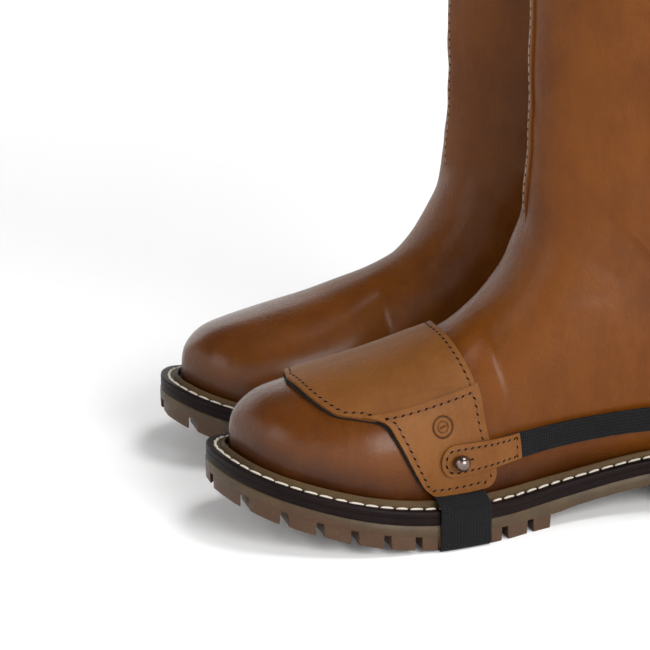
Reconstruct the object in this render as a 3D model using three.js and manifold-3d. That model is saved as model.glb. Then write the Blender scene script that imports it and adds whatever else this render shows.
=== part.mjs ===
// A pair of tall leather riding boots on lugged soles, with a strap-on shift guard on the left boot.
// Millimetres, +Z up, toes toward -Y, left boot on +X.
import * as THREE from 'three';
import { mergeVertices } from 'three/addons/utils/BufferGeometryUtils.js';
import Module from 'manifold-3d';

const wasm = await Module();
wasm.setup();

// ---- driving dimensions ----------------------------------------------------------------------
const HALF_SPACING = 62;        // boot centre line to the middle of the pair
const RIGHT_BOOT_BACK = 2.5;    // the right boot stands this much further back
const LENGTH = 305;             // outsole, heel back to toe
const TOP_Z = 320;              // shaft mouth
const FLAT_STACK = 18;          // ground to welt top under the ball of the foot
const HEEL_RISE = 12;           // extra stack height at the heel
const TOE_SPRING = 21.6;
const SPRING_START = 195;
const GAP = 0.3;                // air left between neighbouring pieces
const FEATHER_GAP = 0.8;        // upper above the welt
const LEATHER = 2.0;
const STIFFENER = 1.0;
const LINING = 1.2;
const BINDING = 1.4;
const WELT_T = 2.8;
const MIDSOLE_T = 3.2;
const INSOLE_T = 2.5;
const FOOTBED_T = 4.0;
const LUG_DEPTH = 6.4;
const LUG_PITCH = 14.4;
const FIRST_GROOVE = 165;
const GROOVE = 3.0;
const FOREPART_START = [140, 154];  // lugged forepart ends and the raised waist begins
const WAIST_SOLE_T = 5.5;
const HEEL_BREAST = 86;
const HEEL_LIFT_T = 8;
const WALL_INSET_FORE = 11;     // upper stands this far inside the sole edge
const WALL_INSET_REAR = 10;
const STORM_RISE = 3;
const STRAP_BAND = [187.5, 212.5];  // where the elastic passes under the left sole
const SOLE_STRAP_T = 1.6;
const HEEL_STRAP_W = 12;
const HEEL_STRAP_T = 1.3;
const STUD_AT = [203.5, 38];
const STUD_BALL_R = 3.7;
const TAB_HALF_W = 6.8;
const TAB_TAPER = 1;              // how much slimmer each half is at the tab's square end
const TAB_HOLE_R = 4.6;

const TAN = 0x8a4f1f;
const DARK = 0x2a1d18;
const GUM = 0x6b4d30;
const BLACK = 0x17171a;

// ---- small helpers ---------------------------------------------------------------------------
const lerp = (a, b, t) => a + (b - a) * t;
const clamp01 = (t) => Math.min(1, Math.max(0, t));
const smooth = (a, b, x) => {
  const t = clamp01((x - a) / (b - a));
  return t * t * (3 - 2 * t);
};

// Smooth curve through [t, value...] rows, by monotone-ish Catmull-Rom on the row parameter.
function curve(rows) {
  return (t, c = 1) => {
    const n = rows.length;
    let i = 0;
    while (i < n - 2 && t > rows[i + 1][0]) i++;
    const [p0, p1] = [rows[i], rows[i + 1]];
    const before = rows[Math.max(i - 1, 0)];
    const after = rows[Math.min(i + 2, n - 1)];
    const h = p1[0] - p0[0];
    const x = clamp01((t - p0[0]) / h);
    const m0 = (p1[c] - before[c]) / (p1[0] - before[0]) * h;
    const m1 = (after[c] - p0[c]) / (after[0] - p0[0]) * h;
    const [x2, x3] = [x * x, x * x * x];
    return (2 * x3 - 3 * x2 + 1) * p0[c] + (x3 - 2 * x2 + x) * m0
      + (3 * x2 - 2 * x3) * p1[c] + (x3 - x2) * m1;
  };
}

// ---- sole outline: [u, v] from the back of the heel to the toe ---------------------------------
const LATERAL = [[0, 0], [3, 18], [12, 31], [35, 39], [70, 39], [110, 33.5], [150, 38], [185, 50.5],
  [215, 56], [243, 55.5], [268, 47.5], [287, 36], [299, 19.5], [305, -6]];
const MEDIAL = [[0, 0], [3, -18], [12, -31], [35, -38], [70, -36], [110, -31.5], [150, -33.5],
  [185, -43.5], [212, -50.5], [238, -52.5], [264, -48.5], [284, -40], [298, -26], [305, -6]];

const OUTLINE = (() => {
  const ring = [...LATERAL.map(([u, v]) => new THREE.Vector3(u, v, 0)),
    ...MEDIAL.slice(1, -1).reverse().map(([u, v]) => new THREE.Vector3(u, v, 0))];
  const path = new THREE.CatmullRomCurve3(ring, true, 'centripetal');
  return path.getSpacedPoints(360).slice(0, -1);
})();

// Outline moved inward; returns half-breadth lookups about the piece's own toe and heel points.
function inset(distance) {
  const n = OUTLINE.length;
  const ring = OUTLINE.map((p, i) => {
    const t = OUTLINE[(i + 1) % n].clone().sub(OUTLINE[(i + n - 1) % n]).normalize();
    const d = typeof distance === 'function' ? distance(p.x) : distance;
    return [p.x + d * t.y, p.y - d * t.x];
  });
  const at = (list, u) => {
    let i = 0;
    while (i < list.length - 2 && list[i + 1][0] < u) i++;
    const [a, b] = [list[i], list[i + 1]];
    return lerp(a[1], b[1], clamp01((u - a[0]) / (b[0] - a[0] || 1)));
  };
  let toe = 0;
  let heel = 0;
  ring.forEach((p, i) => {
    if (p[0] > ring[toe][0]) toe = i;
    if (p[0] < ring[heel][0]) heel = i;
  });
  const walk = (from, to, step) => {
    const out = [];
    for (let i = from; ; i = (i + step + n) % n) {
      out.push(ring[i]);
      if (i === to) return out;
    }
  };
  const side = ring[(heel + 20) % n][1] > ring[heel][1] ? 1 : -1;
  const lateral = walk(heel, toe, side);
  const medial = walk(heel, toe, -side);
  return { uMin: ring[heel][0], uMax: ring[toe][0],
    lateral: (u) => at(lateral, u), medial: (u) => at(medial, u) };
}

const springAt = (u) => (u > SPRING_START
  ? TOE_SPRING * ((u - SPRING_START) / 110) ** 1.8 : 0);
const weltTop = (u) => FLAT_STACK + springAt(u) + HEEL_RISE * (1 - smooth(60, 175, u));

// ---- shape of the upper ------------------------------------------------------------------------
// Sections run from the toe (s = 0) to the shaft mouth (s = 1). Each goes from a point on the ridge
// or shaft front to a point on the feather line or up the back.
const wallInset = (u) => lerp(WALL_INSET_REAR, WALL_INSET_FORE, smooth(90, 190, u));
const FEATHER = inset(wallInset);
const TOE_U = FEATHER.uMax;
const HEEL_U = FEATHER.uMin;
const TOE_V = FEATHER.lateral(TOE_U);

// [s, ridge u, ridge z, end u, end z or -1 for the feather line, half-breadth halfway along]
const SECTIONS = [
  [0.00, TOE_U + 0.4, 45, TOE_U, -1, 0],
  [0.03, 292.5, 53, 292.5, -1, 0],
  [0.06, 287, 58.5, 287, -1, 0],
  [0.10, 279, 63.1, 279, -1, 0],
  [0.15, 266, 66.6, 266, -1, 0],
  [0.21, 247, 70.9, 247, -1, 10],
  [0.28, 226, 76, 225, -1, 20],
  [0.34, 208, 81.9, 206, -1, 26],
  [0.39, 193.3, 87.1, 188, -1, 28.5],
  [0.43, 182.8, 92.9, 170, -1, 30.5],
  [0.47, 172.8, 101.1, 150, -1, 32.5],
  [0.51, 163.4, 113.5, 126, -1, 35],
  [0.55, 157.3, 127.8, 96, -1, 37],
  [0.59, 154.2, 143, 60, -1, 39],
  [0.63, 153, 157.5, 26, -1, 40.5],
  [0.66, 152.6, 168, HEEL_U, 33, 41],
  [0.70, 152.5, 182, 7, 50, 41.5],
  [0.74, 152.5, 196, 10, 72, 42],
  [0.78, 152.6, 212, 19, 102, 43],
  [0.83, 152.7, 232, 28, 140, 45],
  [0.88, 152.8, 256, 30, 190, 49],
  [0.94, 152.6, 288, 27, 264, 53],
  [0.98, 152.5, 309, 25, 308, 55.3],
  [1.00, 152.4, TOP_Z, 24, TOP_Z, 56],
];
const section = curve(SECTIONS);
const HEEL_S = 0.66;            // the section that ends at the foot of the back seam
const THROAT_S = 0.56;          // vamp and quarters meet here
const FOOT_N = 2.5;

const HALFWAY = (1 - 0.5 ** FOOT_N) ** (1 / FOOT_N);

// Point on the upper: q = 0 on the ridge, +1 at the lateral end of the section, -1 medial.
function upperPoint(s, q) {
  const side = q < 0 ? -1 : 1;
  const a = Math.min(Math.abs(q), 1);
  const onFeather = s <= HEEL_S;
  const beta = smooth(0.4, HEEL_S, s);
  const sigma = clamp01(lerp(1 - Math.cos(a * Math.PI / 2), (1 - Math.cos(a * Math.PI)) / 2, beta));
  const endU = Math.min(Math.max(section(s, 3), HEEL_U), TOE_U);
  const liftedFeather = weltTop(endU) + FEATHER_GAP;
  const endZ = onFeather ? liftedFeather
    : lerp(liftedFeather, section(s, 4), smooth(HEEL_S, HEEL_S + 0.012, s));
  const mid = lerp(TOE_V, -3, smooth(0, 0.2, s)) * (1 - smooth(0.35, 0.6, s));
  const rim = side > 0 ? FEATHER.lateral(endU) - mid : mid - FEATHER.medial(endU);
  const edge = s < HEEL_S ? Math.max(0, rim) : 0;
  const foot = edge * (1 - (1 - sigma) ** FOOT_N) ** (1 / FOOT_N);
  const bulge = edge * 0.05 * Math.sin(Math.PI * sigma) * (1 - beta);
  const soft = lerp(1.2, 0.5, smooth(0.42, HEEL_S, s));
  const tube = Math.max(0, section(s, 5) - HALFWAY * edge)
    * (2 * sigma) ** 0.5 * (2 - 2 * sigma) ** soft;
  return new THREE.Vector3(lerp(section(s, 1), endU, sigma), mid + side * (foot + bulge + tube),
    lerp(section(s, 2), endZ, sigma));
}

function upperNormal(s, q) {
  const h = 0.004;
  const past = Math.abs(q) + h > 1;
  const wrap = (x) => (x > 1 ? x - 2 : x < -1 ? x + 2 : x);
  const [q0, q1] = past && s < HEEL_S ? [q - h * (q > 0), q + h * (q < 0)] : [wrap(q - h), wrap(q + h)];
  const dq = upperPoint(s, q1).sub(upperPoint(s, q0));
  const ds = upperPoint(Math.min(1, s + h), q).sub(upperPoint(Math.max(0, s - h), q));
  const normal = dq.cross(ds);
  if (s === 0 || (s >= HEEL_S && Math.abs(q) === 1)) normal.y = 0;
  return normal.normalize();
}

// Point at a distance outside the skin, or inside it (negative) but never in the sole or over the top.
function skin(s, q, out) {
  const p = upperPoint(s, q).addScaledVector(upperNormal(s, q), out);
  if (out < 0) p.z = Math.min(TOP_Z, Math.max(p.z, weltTop(p.x) + FEATHER_GAP));
  return p;
}

// Parameters of the skin point seen at side-view position (u, z).
function locate(u, z, side) {
  let [s, q] = [0.3, 0.5 * side];
  let best = Infinity;
  for (let i = 0; i <= 60; i++) {
    for (let j = 1; j < 30; j++) {
      const p = upperPoint(i / 60, side * j / 30);
      const d = (p.x - u) ** 2 + (p.z - z) ** 2;
      if (d < best) [best, s, q] = [d, i / 60, side * j / 30];
    }
  }
  const h = 1e-4;
  for (let i = 0; i < 12; i++) {
    const p = upperPoint(s, q);
    const ps = upperPoint(s + h, q);
    const pq = upperPoint(s, q + h);
    const [a, b, c, d] = [(ps.x - p.x) / h, (pq.x - p.x) / h, (ps.z - p.z) / h, (pq.z - p.z) / h];
    const det = a * d - b * c;
    const [eu, ez] = [u - p.x, z - p.z];
    s = Math.min(1, Math.max(0, s + (eu * d - ez * b) / det));
    q = Math.min(1, Math.max(-1, q + (ez * a - eu * c) / det));
  }
  return [s, q];
}

// ---- solids --------------------------------------------------------------------------------------
// Welded, outward-facing closed body from a triangle soup of vectors.
function body(triangles) {
  const positions = [];
  for (const t of triangles) for (const p of t) positions.push(p.x, p.y, p.z);
  const g = new THREE.BufferGeometry();
  g.setAttribute('position', new THREE.Float32BufferAttribute(positions, 3));
  return closed(g);
}

// Welds a closed surface, drops triangles with no area and turns it to face outward.
function closed(loose) {
  const g = mergeVertices(loose, 1e-3);
  const index = [...g.index.array];
  const kept = [];
  for (let i = 0; i < index.length; i += 3) {
    const [a, b, c] = index.slice(i, i + 3);
    if (a !== b && b !== c && a !== c) kept.push(a, b, c);
  }
  const p = g.attributes.position;
  let volume = 0;
  for (let i = 0; i < kept.length; i += 3) {
    const [a, b, c] = [0, 1, 2].map((j) => new THREE.Vector3().fromBufferAttribute(p, kept[i + j]));
    volume += a.dot(b.cross(c));
  }
  if (volume < 0) kept.reverse();
  g.setIndex(kept);
  return g;
}

// Sheet through a grid of points given by at(i, j, layer); layer 0 is the outside, 1 the inside.
// Edges that meet themselves are left without a wall: the first row, or the sides from one row on.
function sheet(rows, columns, at, { startMeets = false, sidesMeetFrom = Infinity } = {}) {
  const soup = [];
  const quad = (a, b, c, d) => soup.push([a, b, c], [a, c, d]);
  const [outer, inner] = [0, 1].map((layer) => Array.from({ length: rows + 1 }, (_, i) =>
    Array.from({ length: columns + 1 }, (__, j) => at(i, j, layer))));
  for (let i = 0; i < rows; i++) {
    for (let j = 0; j < columns; j++) {
      quad(outer[i][j], outer[i + 1][j], outer[i + 1][j + 1], outer[i][j + 1]);
      quad(inner[i][j], inner[i][j + 1], inner[i + 1][j + 1], inner[i + 1][j]);
    }
    if (i < sidesMeetFrom) {
      quad(outer[i][0], inner[i][0], inner[i + 1][0], outer[i + 1][0]);
      quad(outer[i][columns], outer[i + 1][columns], inner[i + 1][columns], inner[i][columns]);
    }
  }
  for (let j = 0; j < columns; j++) {
    if (!startMeets) quad(outer[0][j], outer[0][j + 1], inner[0][j + 1], inner[0][j]);
    quad(outer[rows][j], inner[rows][j], inner[rows][j + 1], outer[rows][j + 1]);
  }
  return body(soup);
}

// Layer of the sole: outline inset by d, between two heights given along the length.
function slab(d, zBottom, zTop, from = -Infinity, to = Infinity, count = 30) {
  const edge = inset(d);
  const [a, b] = [Math.max(edge.uMin, from), Math.min(edge.uMax, to)];
  const soup = [];
  const station = (i) => {
    const t = (1 - Math.cos(Math.PI * i / count)) / 2;
    const u = lerp(a, b, t);
    return [edge.lateral(u), edge.medial(u)].map((v) =>
      [new THREE.Vector3(u, v, zTop(u)), new THREE.Vector3(u, v, zBottom(u))]);
  };
  const quad = (p, q, r, t) => soup.push([p, q, r], [p, r, t]);
  for (let i = 0; i < count; i++) {
    const [[lt, lb], [mt, mb]] = station(i);
    const [[lt2, lb2], [mt2, mb2]] = station(i + 1);
    quad(lt, lt2, mt2, mt);
    quad(lb, mb, mb2, lb2);
    quad(lt, lb, lb2, lt2);
    quad(mt, mt2, mb2, mb);
    if (i === 0) quad(lt, mt, mb, lb);
    if (i === count - 1) quad(lt2, lb2, mb2, mt2);
  }
  return body(soup);
}

// Closed ring following the outline; profile lists [inset, height above the welt line].
function ringBand(profile, count = 60) {
  const rings = profile.map(([d, h]) => {
    const edge = inset(d);
    return Array.from({ length: count }, (_, i) => {
      const a = 2 * Math.PI * i / count;
      const u = lerp(edge.uMin, edge.uMax, (1 - Math.cos(a)) / 2);
      const v = a <= Math.PI ? edge.lateral(u) : edge.medial(u);
      return new THREE.Vector3(u, v, weltTop(u) + h);
    });
  });
  const soup = [];
  for (let k = 0; k < rings.length; k++) {
    const [a, b] = [rings[k], rings[(k + 1) % rings.length]];
    for (let i = 0; i < count; i++) {
      const j = (i + 1) % count;
      soup.push([a[i], a[j], b[j]], [a[i], b[j], b[i]]);
    }
  }
  return body(soup);
}

function toManifold(geometry) {
  const g = mergeVertices(geometry, 1e-4);
  return new wasm.Manifold(new wasm.Mesh({ numProp: 3,
    vertProperties: new Float32Array(g.attributes.position.array),
    triVerts: new Uint32Array(g.index.array) }));
}

function cut(geometry, tools) {
  const left = tools.reduce((m, t) => m.subtract(toManifold(t)), toManifold(geometry));
  const mesh = left.getMesh();
  const g = new THREE.BufferGeometry();
  g.setAttribute('position', new THREE.BufferAttribute(new Float32Array(mesh.vertProperties), 3));
  g.setIndex([...mesh.triVerts]);
  return g;
}

function box(u0, u1, v0, v1, z0, z1) {
  const g = new THREE.BoxGeometry(u1 - u0, v1 - v0, z1 - z0);
  g.deleteAttribute('normal');
  g.deleteAttribute('uv');
  return g.translate((u0 + u1) / 2, (v0 + v1) / 2, (z0 + z1) / 2);
}

// ---- pieces of one boot ----------------------------------------------------------------------------
function soleParts(guarded) {
  const midTop = (u) => weltTop(u) - WELT_T - GAP;
  const outTop = (u) => midTop(u) - MIDSOLE_T - GAP;
  const tread = (u) => {
    const waist = outTop(u) - WAIST_SOLE_T;
    return lerp(waist, springAt(u), smooth(...FOREPART_START, u));
  };
  const grooves = [];
  for (let u = FIRST_GROOVE; u < LENGTH - 4; u += LUG_PITCH) {
    grooves.push(box(u - GROOVE / 2, u + GROOVE / 2, -80, 80, -20, springAt(u) + LUG_DEPTH));
  }
  if (guarded) grooves.push(box(STRAP_BAND[0] - 0.6, STRAP_BAND[1] + 0.6, -80, 80, -20, SOLE_STRAP_T + GAP));
  const heelGrooves = [];
  for (let u = 14; u < HEEL_BREAST - 8; u += LUG_PITCH) {
    heelGrooves.push(box(u - GROOVE / 2, u + GROOVE / 2, -80, 80, -20, HEEL_LIFT_T * 0.6));
  }
  const lip = (out) => (u) => wallInset(u) - lerp(3.2, 1.8, smooth(100, 180, u)) - out;
  const heelTop = (u) => outTop(u) - WAIST_SOLE_T - GAP;
  return {
    outsole: [cut(slab(0, tread, outTop), grooves), GUM],
    heel_base: [slab(0.6, () => HEEL_LIFT_T + GAP, heelTop, 0, HEEL_BREAST, 24), DARK],
    heel_lift: [cut(slab(0.2, () => 0, () => HEEL_LIFT_T, 0, HEEL_BREAST, 24), heelGrooves), GUM],
    midsole: [slab(0.5, (u) => midTop(u) - MIDSOLE_T, midTop), DARK],
    welt: [ringBand([[0.4, -WELT_T], [0.4, -0.6], [1.2, 0], [lip(2.2), 0], [lip(1.2), STORM_RISE - 0.6],
      [lip(0), STORM_RISE - 0.4], [lip(-0.2), 0], [lip(-8), 0], [lip(-8), -WELT_T]]), TAN],
    insole_board: [slab((u) => wallInset(u) + 10, (u) => weltTop(u) + 2 * GAP,
      (u) => weltTop(u) + 2 * GAP + INSOLE_T), 0xb08a5a],
    cork_filler: [slab((u) => wallInset(u) + 7.2, (u) => midTop(u) + GAP, weltTop, 152, 400, 26), 0x9c7446],
    shank: [slabStrip(58, 150, 8, (u) => midTop(u) + GAP, (u) => weltTop(u) - 0.2), 0x8c9096],
    footbed: [slab((u) => wallInset(u) + 11.4, (u) => weltTop(u) + 3 * GAP + INSOLE_T,
      (u) => weltTop(u) + 3 * GAP + INSOLE_T + FOOTBED_T), 0xc09a6a],
  };
}

// Straight flat bar along the waist.
function slabStrip(u0, u1, halfWidth, zBottom, zTop) {
  return sheet(16, 1, (i, j, layer) => {
    const u = lerp(u0, u1, i / 16);
    return new THREE.Vector3(u, (j ? 1 : -1) * halfWidth, layer ? zBottom(u) : zTop(u));
  });
}

// Even steps from a to b.
const steps = (a, b, n) => Array.from({ length: n + 1 }, (_, i) => lerp(a, b, i / n));

// Part of the upper over lists of s and q, from depth d0 to d1 under the outer face.
function panel(sList, qList, d0, d1) {
  const full = qList[0] === -1 && qList[qList.length - 1] === 1;
  const meet = full ? sList.indexOf(HEEL_S) : -1;
  return sheet(sList.length - 1, qList.length - 1,
    (i, j, layer) => skin(sList[i], qList[j], -(layer ? d1 : d0)),
    { startMeets: sList[0] === 0, sidesMeetFrom: meet < 0 ? Infinity : meet });
}

// Every layer of the upper shares these rows and columns, so neighbours stay evenly apart.
const SEAM = 0.0008;
const VAMP_S = [...Array.from({ length: 7 }, (_, i) => 0.3 * (i / 6) ** 1.7),
  ...steps(0.3, 0.47, 7).slice(1), ...steps(0.47, THROAT_S - SEAM, 4).slice(1)];
const QUARTER_S = [...steps(THROAT_S + SEAM, HEEL_S, 6), ...steps(HEEL_S, 1, 9).slice(1)];
const COLUMNS = 16;
const PUFF_ROWS = 5;

function upperParts() {
  const columns = steps(-1, 1, COLUMNS);
  const quarterQ = [0.002, ...columns.slice(COLUMNS / 2 + 1, -1), 0.998];
  const puff = LEATHER + 0.5;
  const lining = puff + STIFFENER + GAP;
  const counterQ = [...columns.slice(COLUMNS * 0.75), ...columns.slice(1, COLUMNS * 0.25 + 1)];
  const counterS = QUARTER_S.slice(6, 9);
  const stripQ = [0.93, 0.965, 1, -0.965, -0.93];
  return {
    vamp: [panel(VAMP_S, columns, 0, LEATHER), TAN],
    quarter_lateral: [panel(QUARTER_S, quarterQ, 0, LEATHER), TAN],
    quarter_medial: [panel(QUARTER_S, quarterQ.map((q) => -q).reverse(), 0, LEATHER), TAN],
    toe_puff: [panel(VAMP_S.slice(0, PUFF_ROWS), columns, puff, puff + STIFFENER), 0xd8cbb0],
    heel_counter: [panel(counterS, counterQ, puff, puff + STIFFENER), 0xd8cbb0],
    lining: [panel([...VAMP_S, ...QUARTER_S], columns, lining, lining + LINING), 0xb08a5a],
    back_strip: [panel([HEEL_S + 0.012, ...QUARTER_S.slice(7, -1), 0.98], stripQ, -BINDING - 0.6, -0.6), TAN],
    topline_binding: [topBinding(lining + LINING), TAN],
  };
}

// Folded strip over the shaft's mouth.
function topBinding(wall, count = COLUMNS) {
  const foot = 0.985;
  const loose = 0.5;
  const out = loose + BINDING;
  const profile = [[foot, out, 0], [1, out, out], [1, -wall - out, out], [foot, -wall - out, 0],
    [foot, -wall - loose, 0], [1, -wall - loose, GAP], [1, loose, GAP], [foot, loose, 0]];
  const rings = profile.map(([s, offset, lift]) => Array.from({ length: count }, (_, i) => {
    const p = skin(s, lerp(-1, 1, i / count), offset);
    p.z = (s === 1 ? TOP_Z : p.z) + lift;
    return p;
  }));
  const soup = [];
  rings.forEach((a, k) => {
    const b = rings[(k + 1) % rings.length];
    for (let i = 0; i < count; i++) {
      const j = (i + 1) % count;
      soup.push([a[i], a[j], b[j]], [a[i], b[j], b[i]]);
    }
  });
  return body(soup);
}

// ---- shift guard on the left boot ---------------------------------------------------------------
const GUARD_LINING = [0.75, 1.7];
const GUARD_LEATHER = [2.0, 4.0];
// Side-view outline of the guard's outer half as [u, z], ridge to bottom.
const GUARD_FRONT = [[262.6, 64], [254, 59], [246, 58], [235, 56], [230, 50], [224, 38.5], [217, 25.5]];
const GUARD_BACK = [[194, 82], [190, 67], [187.5, 50], [184.5, 38], [181.5, 25.5]];
const GUARD_RIDGE = [267, 196];
const GUARD_SEAM = [[230, 58], [191, 67]];
const GUARD_BOTTOM_Z = 24;

function guardEdges() {
  const sOnRidge = (u) => {
    let [a, b] = [0, 0.6];
    for (let i = 0; i < 40; i++) {
      const m = (a + b) / 2;
      if (upperPoint(m, 0).x > u) a = m; else b = m;
    }
    return a;
  };
  const line = (points, ridge) => {
    const rows = [[0, sOnRidge(ridge)], ...points.map(([u, z]) => locate(u, z, 1).reverse())];
    const look = curve(rows);
    return (q) => look(Math.abs(q));
  };
  const [front, back] = [line(GUARD_FRONT, GUARD_RIDGE[0]), line(GUARD_BACK, GUARD_RIDGE[1])];
  const seam = GUARD_SEAM.map(([u, z]) => locate(u, z, 1)[1]);
  const bottom = [[216, GUARD_BOTTOM_Z], [182, GUARD_BOTTOM_Z]].map(([u, z]) => locate(u, z, 1)[1]);
  return { front, back, seam, bottom };
}

function guardParts() {
  const { front, back, seam, bottom } = guardEdges();
  // Rows of [q at the front, q at the back]; the sheet runs between the guard's two edges.
  const grid = (rows, [d0, d1]) => sheet(rows.length - 1, 8, (i, j, layer) => {
    const q = lerp(rows[i][0], rows[i][1], j / 8);
    return skin(lerp(front(q), back(q), j / 8), q, layer ? d0 : d1);
  });
  const between = (a, b, n) => steps(0, 1, n).map((t) => [lerp(a[0], b[0], t), lerp(a[1], b[1], t)]);
  const minus = ([a, b]) => [-a, -b];
  const shy = ([a, b]) => [a + 0.006, b + 0.006];
  const topRows = between(minus(seam), seam, 14);
  const lateralRows = between(shy(seam), bottom, 6);
  const medialRows = lateralRows.map(minus).reverse();
  return {
    guard_top_panel: [grid(topRows, GUARD_LEATHER), TAN],
    guard_lateral_panel: [grid(lateralRows, GUARD_LEATHER), TAN],
    guard_medial_panel: [grid(medialRows, GUARD_LEATHER), TAN],
    guard_lining: [grid([...medialRows, ...topRows.slice(1, -1), ...lateralRows], GUARD_LINING), BLACK],
    sole_strap: [soleStrap(), BLACK],
    ...heelStrapParts(),
  };
}

// Elastic band from under the guard's lower edge, round the welt and under the sole.
function soleStrap() {
  const edge = inset(0);
  const half = (u, side) => {
    const fe = Math.abs(side > 0 ? FEATHER.lateral(u) : FEATHER.medial(u));
    const e = Math.abs(side > 0 ? edge.lateral(u) : edge.medial(u));
    const up = weltTop(u) - FLAT_STACK;
    const outer = [[fe + 1, 23 + up], [fe + 4, 22.5 + up], [e + 1.3, 19.9 + up], [e + 2, 18.4 + up],
      [e + 2, 1.8], [e + 1.3, 0.5], [e, 0]];
    const inner = [[fe + 1, 21.4 + up], [fe + 4, 20.9 + up], [e + 0.3, 18.5 + up], [e + 0.4, 17.9 + up],
      [e + 0.4, 1.9], [e + 0.4, 1.7], [e, SOLE_STRAP_T]];
    return [outer, inner].map((path) => path.map(([v, z]) => new THREE.Vector3(u, side * v, z)));
  };
  const stations = steps(STRAP_BAND[0], STRAP_BAND[1], 4).map((u) => {
    const [lo, li] = half(u, 1);
    const [mo, mi] = half(u, -1);
    return [[...lo, ...mo.reverse()], [...li, ...mi.reverse()]];
  });
  return sheet(13, 4, (i, j, layer) => stations[j][layer][i]);
}

// Height of the strap's and the tab's middle line along the foot.
const STRAP_LINE = [[0, 54], [20, 53.6], [60, 51.5], [110, 47.6], [148, 43], [170, 39.5], [185, 38.6],
  [STUD_AT[0], STUD_AT[1]], [215, 37.8]];
const heelStrapZ = curve(STRAP_LINE);
const backU = (z) => {
  let [a, b] = [HEEL_S, 1];
  for (let i = 0; i < 40; i++) {
    const m = (a + b) / 2;
    if (upperPoint(m, 1).z < z) a = m; else b = m;
  }
  return [a, upperPoint(a, 1).x];
};
const STRAP_HINGE_U = 52;
const STRAP_FREE_END = 181;

function heelStrapParts() {
  const half = HEEL_STRAP_W / 2;
  const lift = (u) => 1 + 3.6 * smooth(88, 48, u) + 1.5 * smooth(150, 172, u);
  // Point of the band at distance u forward on one side, w across its width.
  const bandPoint = (u, w, side, out) => {
    const z = heelStrapZ(u) + w;
    const [s, q] = locate(u, z, side);
    return skin(s, q, out);
  };
  const free = (i, j, layer) => {
    const u = lerp(STRAP_FREE_END, STRAP_HINGE_U + 1.2, i / 18);
    return bandPoint(u, lerp(half, -half, j), 1, lift(u) + (layer ? 0 : HEEL_STRAP_T));
  };
  const run = 26;
  const fixed = (i, j, layer) => {
    const w = lerp(half, -half, j / 2);
    const [sBack, uBack] = backU(heelStrapZ(8) + w);
    const thick = layer ? 0 : HEEL_STRAP_T;
    if (i === 6) return skin(sBack, 1, lift(uBack) + thick);
    const t = i < 6 ? 1 - i / 6 : (i - 6) / (run - 6);
    const reach = i < 6 ? STRAP_HINGE_U - 1.2 : 180;
    const u = uBack + (reach - uBack) * (i < 6 ? t * t : t ** 1.6);
    return bandPoint(u, w, i < 6 ? 1 : -1, lift(u) + thick);
  };
  const tabStart = 213.5;
  const tabEnd = 170;
  const tab = sheet(18, 4, (i, j, layer) => {
    const u = lerp(tabStart - 0.5, tabEnd, (i / 18) ** 1.4);
    const past = Math.max(0, (u - (tabStart - TAB_HALF_W)) / TAB_HALF_W);
    const hw = (TAB_HALF_W - TAB_TAPER * smooth(200, 172, u)) * Math.sqrt(Math.max(0, 1 - past * past));
    const z = heelStrapZ(u) + lerp(hw, -hw, j / 4);
    const [s, q] = locate(u, z, 1);
    return skin(s, q, GUARD_LEATHER[1] + GAP + (layer ? 0 : LEATHER));
  });
  const [s, q] = locate(...STUD_AT, 1);
  const axis = upperNormal(s, q);
  const aim = new THREE.Quaternion().setFromUnitVectors(new THREE.Vector3(0, 1, 0), axis);
  const place = (g, out) => {
    g.deleteAttribute('normal');
    g.deleteAttribute('uv');
    return g.applyQuaternion(aim).translate(...skin(s, q, out).toArray());
  };
  const hole = place(new THREE.CylinderGeometry(TAB_HOLE_R, TAB_HOLE_R, 8, 28), 5);
  const ballCentre = 5.4;
  const ball = steps(-0.95, Math.PI / 2, 9).map((a) => new THREE.Vector2(
    a >= Math.PI / 2 - 1e-6 ? 0 : STUD_BALL_R * Math.cos(a), ballCentre + STUD_BALL_R * Math.sin(a)));
  const stud = place(new THREE.LatheGeometry([new THREE.Vector2(0, 0), new THREE.Vector2(3.9, 0),
    new THREE.Vector2(3.9, 0.8), new THREE.Vector2(1.9, 1.3), ...ball], 24), GUARD_LEATHER[1] + GAP);
  return {
    heel_strap_fixed: [sheet(run, 2, fixed), BLACK],
    heel_strap_free: [sheet(18, 1, free), BLACK],
    strap_tab: [cut(tab, [hole]), TAN],
    stud: [closed(stud), 0x4a4544],
  };
}

// ---- assembly ---------------------------------------------------------------------------------------
// Boot coordinates (forward, outward, up) to the part's own axes; the right boot is a mirror image.
function stand(geometry, side) {
  const p = geometry.attributes.position;
  for (let i = 0; i < p.count; i++) p.setXYZ(i, side * p.getY(i), -p.getX(i), p.getZ(i));
  if (side < 0) geometry.setIndex([...geometry.index.array].reverse());
  geometry.computeVertexNormals();
  return geometry;
}

function boot(name, side) {
  const group = new THREE.Group();
  group.name = `${name}_boot`;
  const parts = { ...soleParts(side > 0), ...upperParts(), ...(side > 0 ? guardParts() : {}) };
  for (const [part, [geometry, color]] of Object.entries(parts)) {
    const mesh = new THREE.Mesh(stand(geometry, side), new THREE.MeshStandardMaterial({ color }));
    mesh.name = `${name}_${part}`;
    group.add(mesh);
  }
  group.position.x = side * HALF_SPACING;
  group.position.y = side < 0 ? RIGHT_BOOT_BACK : 0;
  return group;
}

const boots = new THREE.Group();
boots.name = 'riding_boots';
boots.add(boot('left', 1), boot('right', -1));
boots.updateMatrixWorld(true);
const middle = new THREE.Box3().setFromObject(boots).getCenter(new THREE.Vector3());
for (const child of boots.children) {
  child.position.x -= middle.x;
  child.position.y -= middle.y;
}
export default boots;
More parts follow.
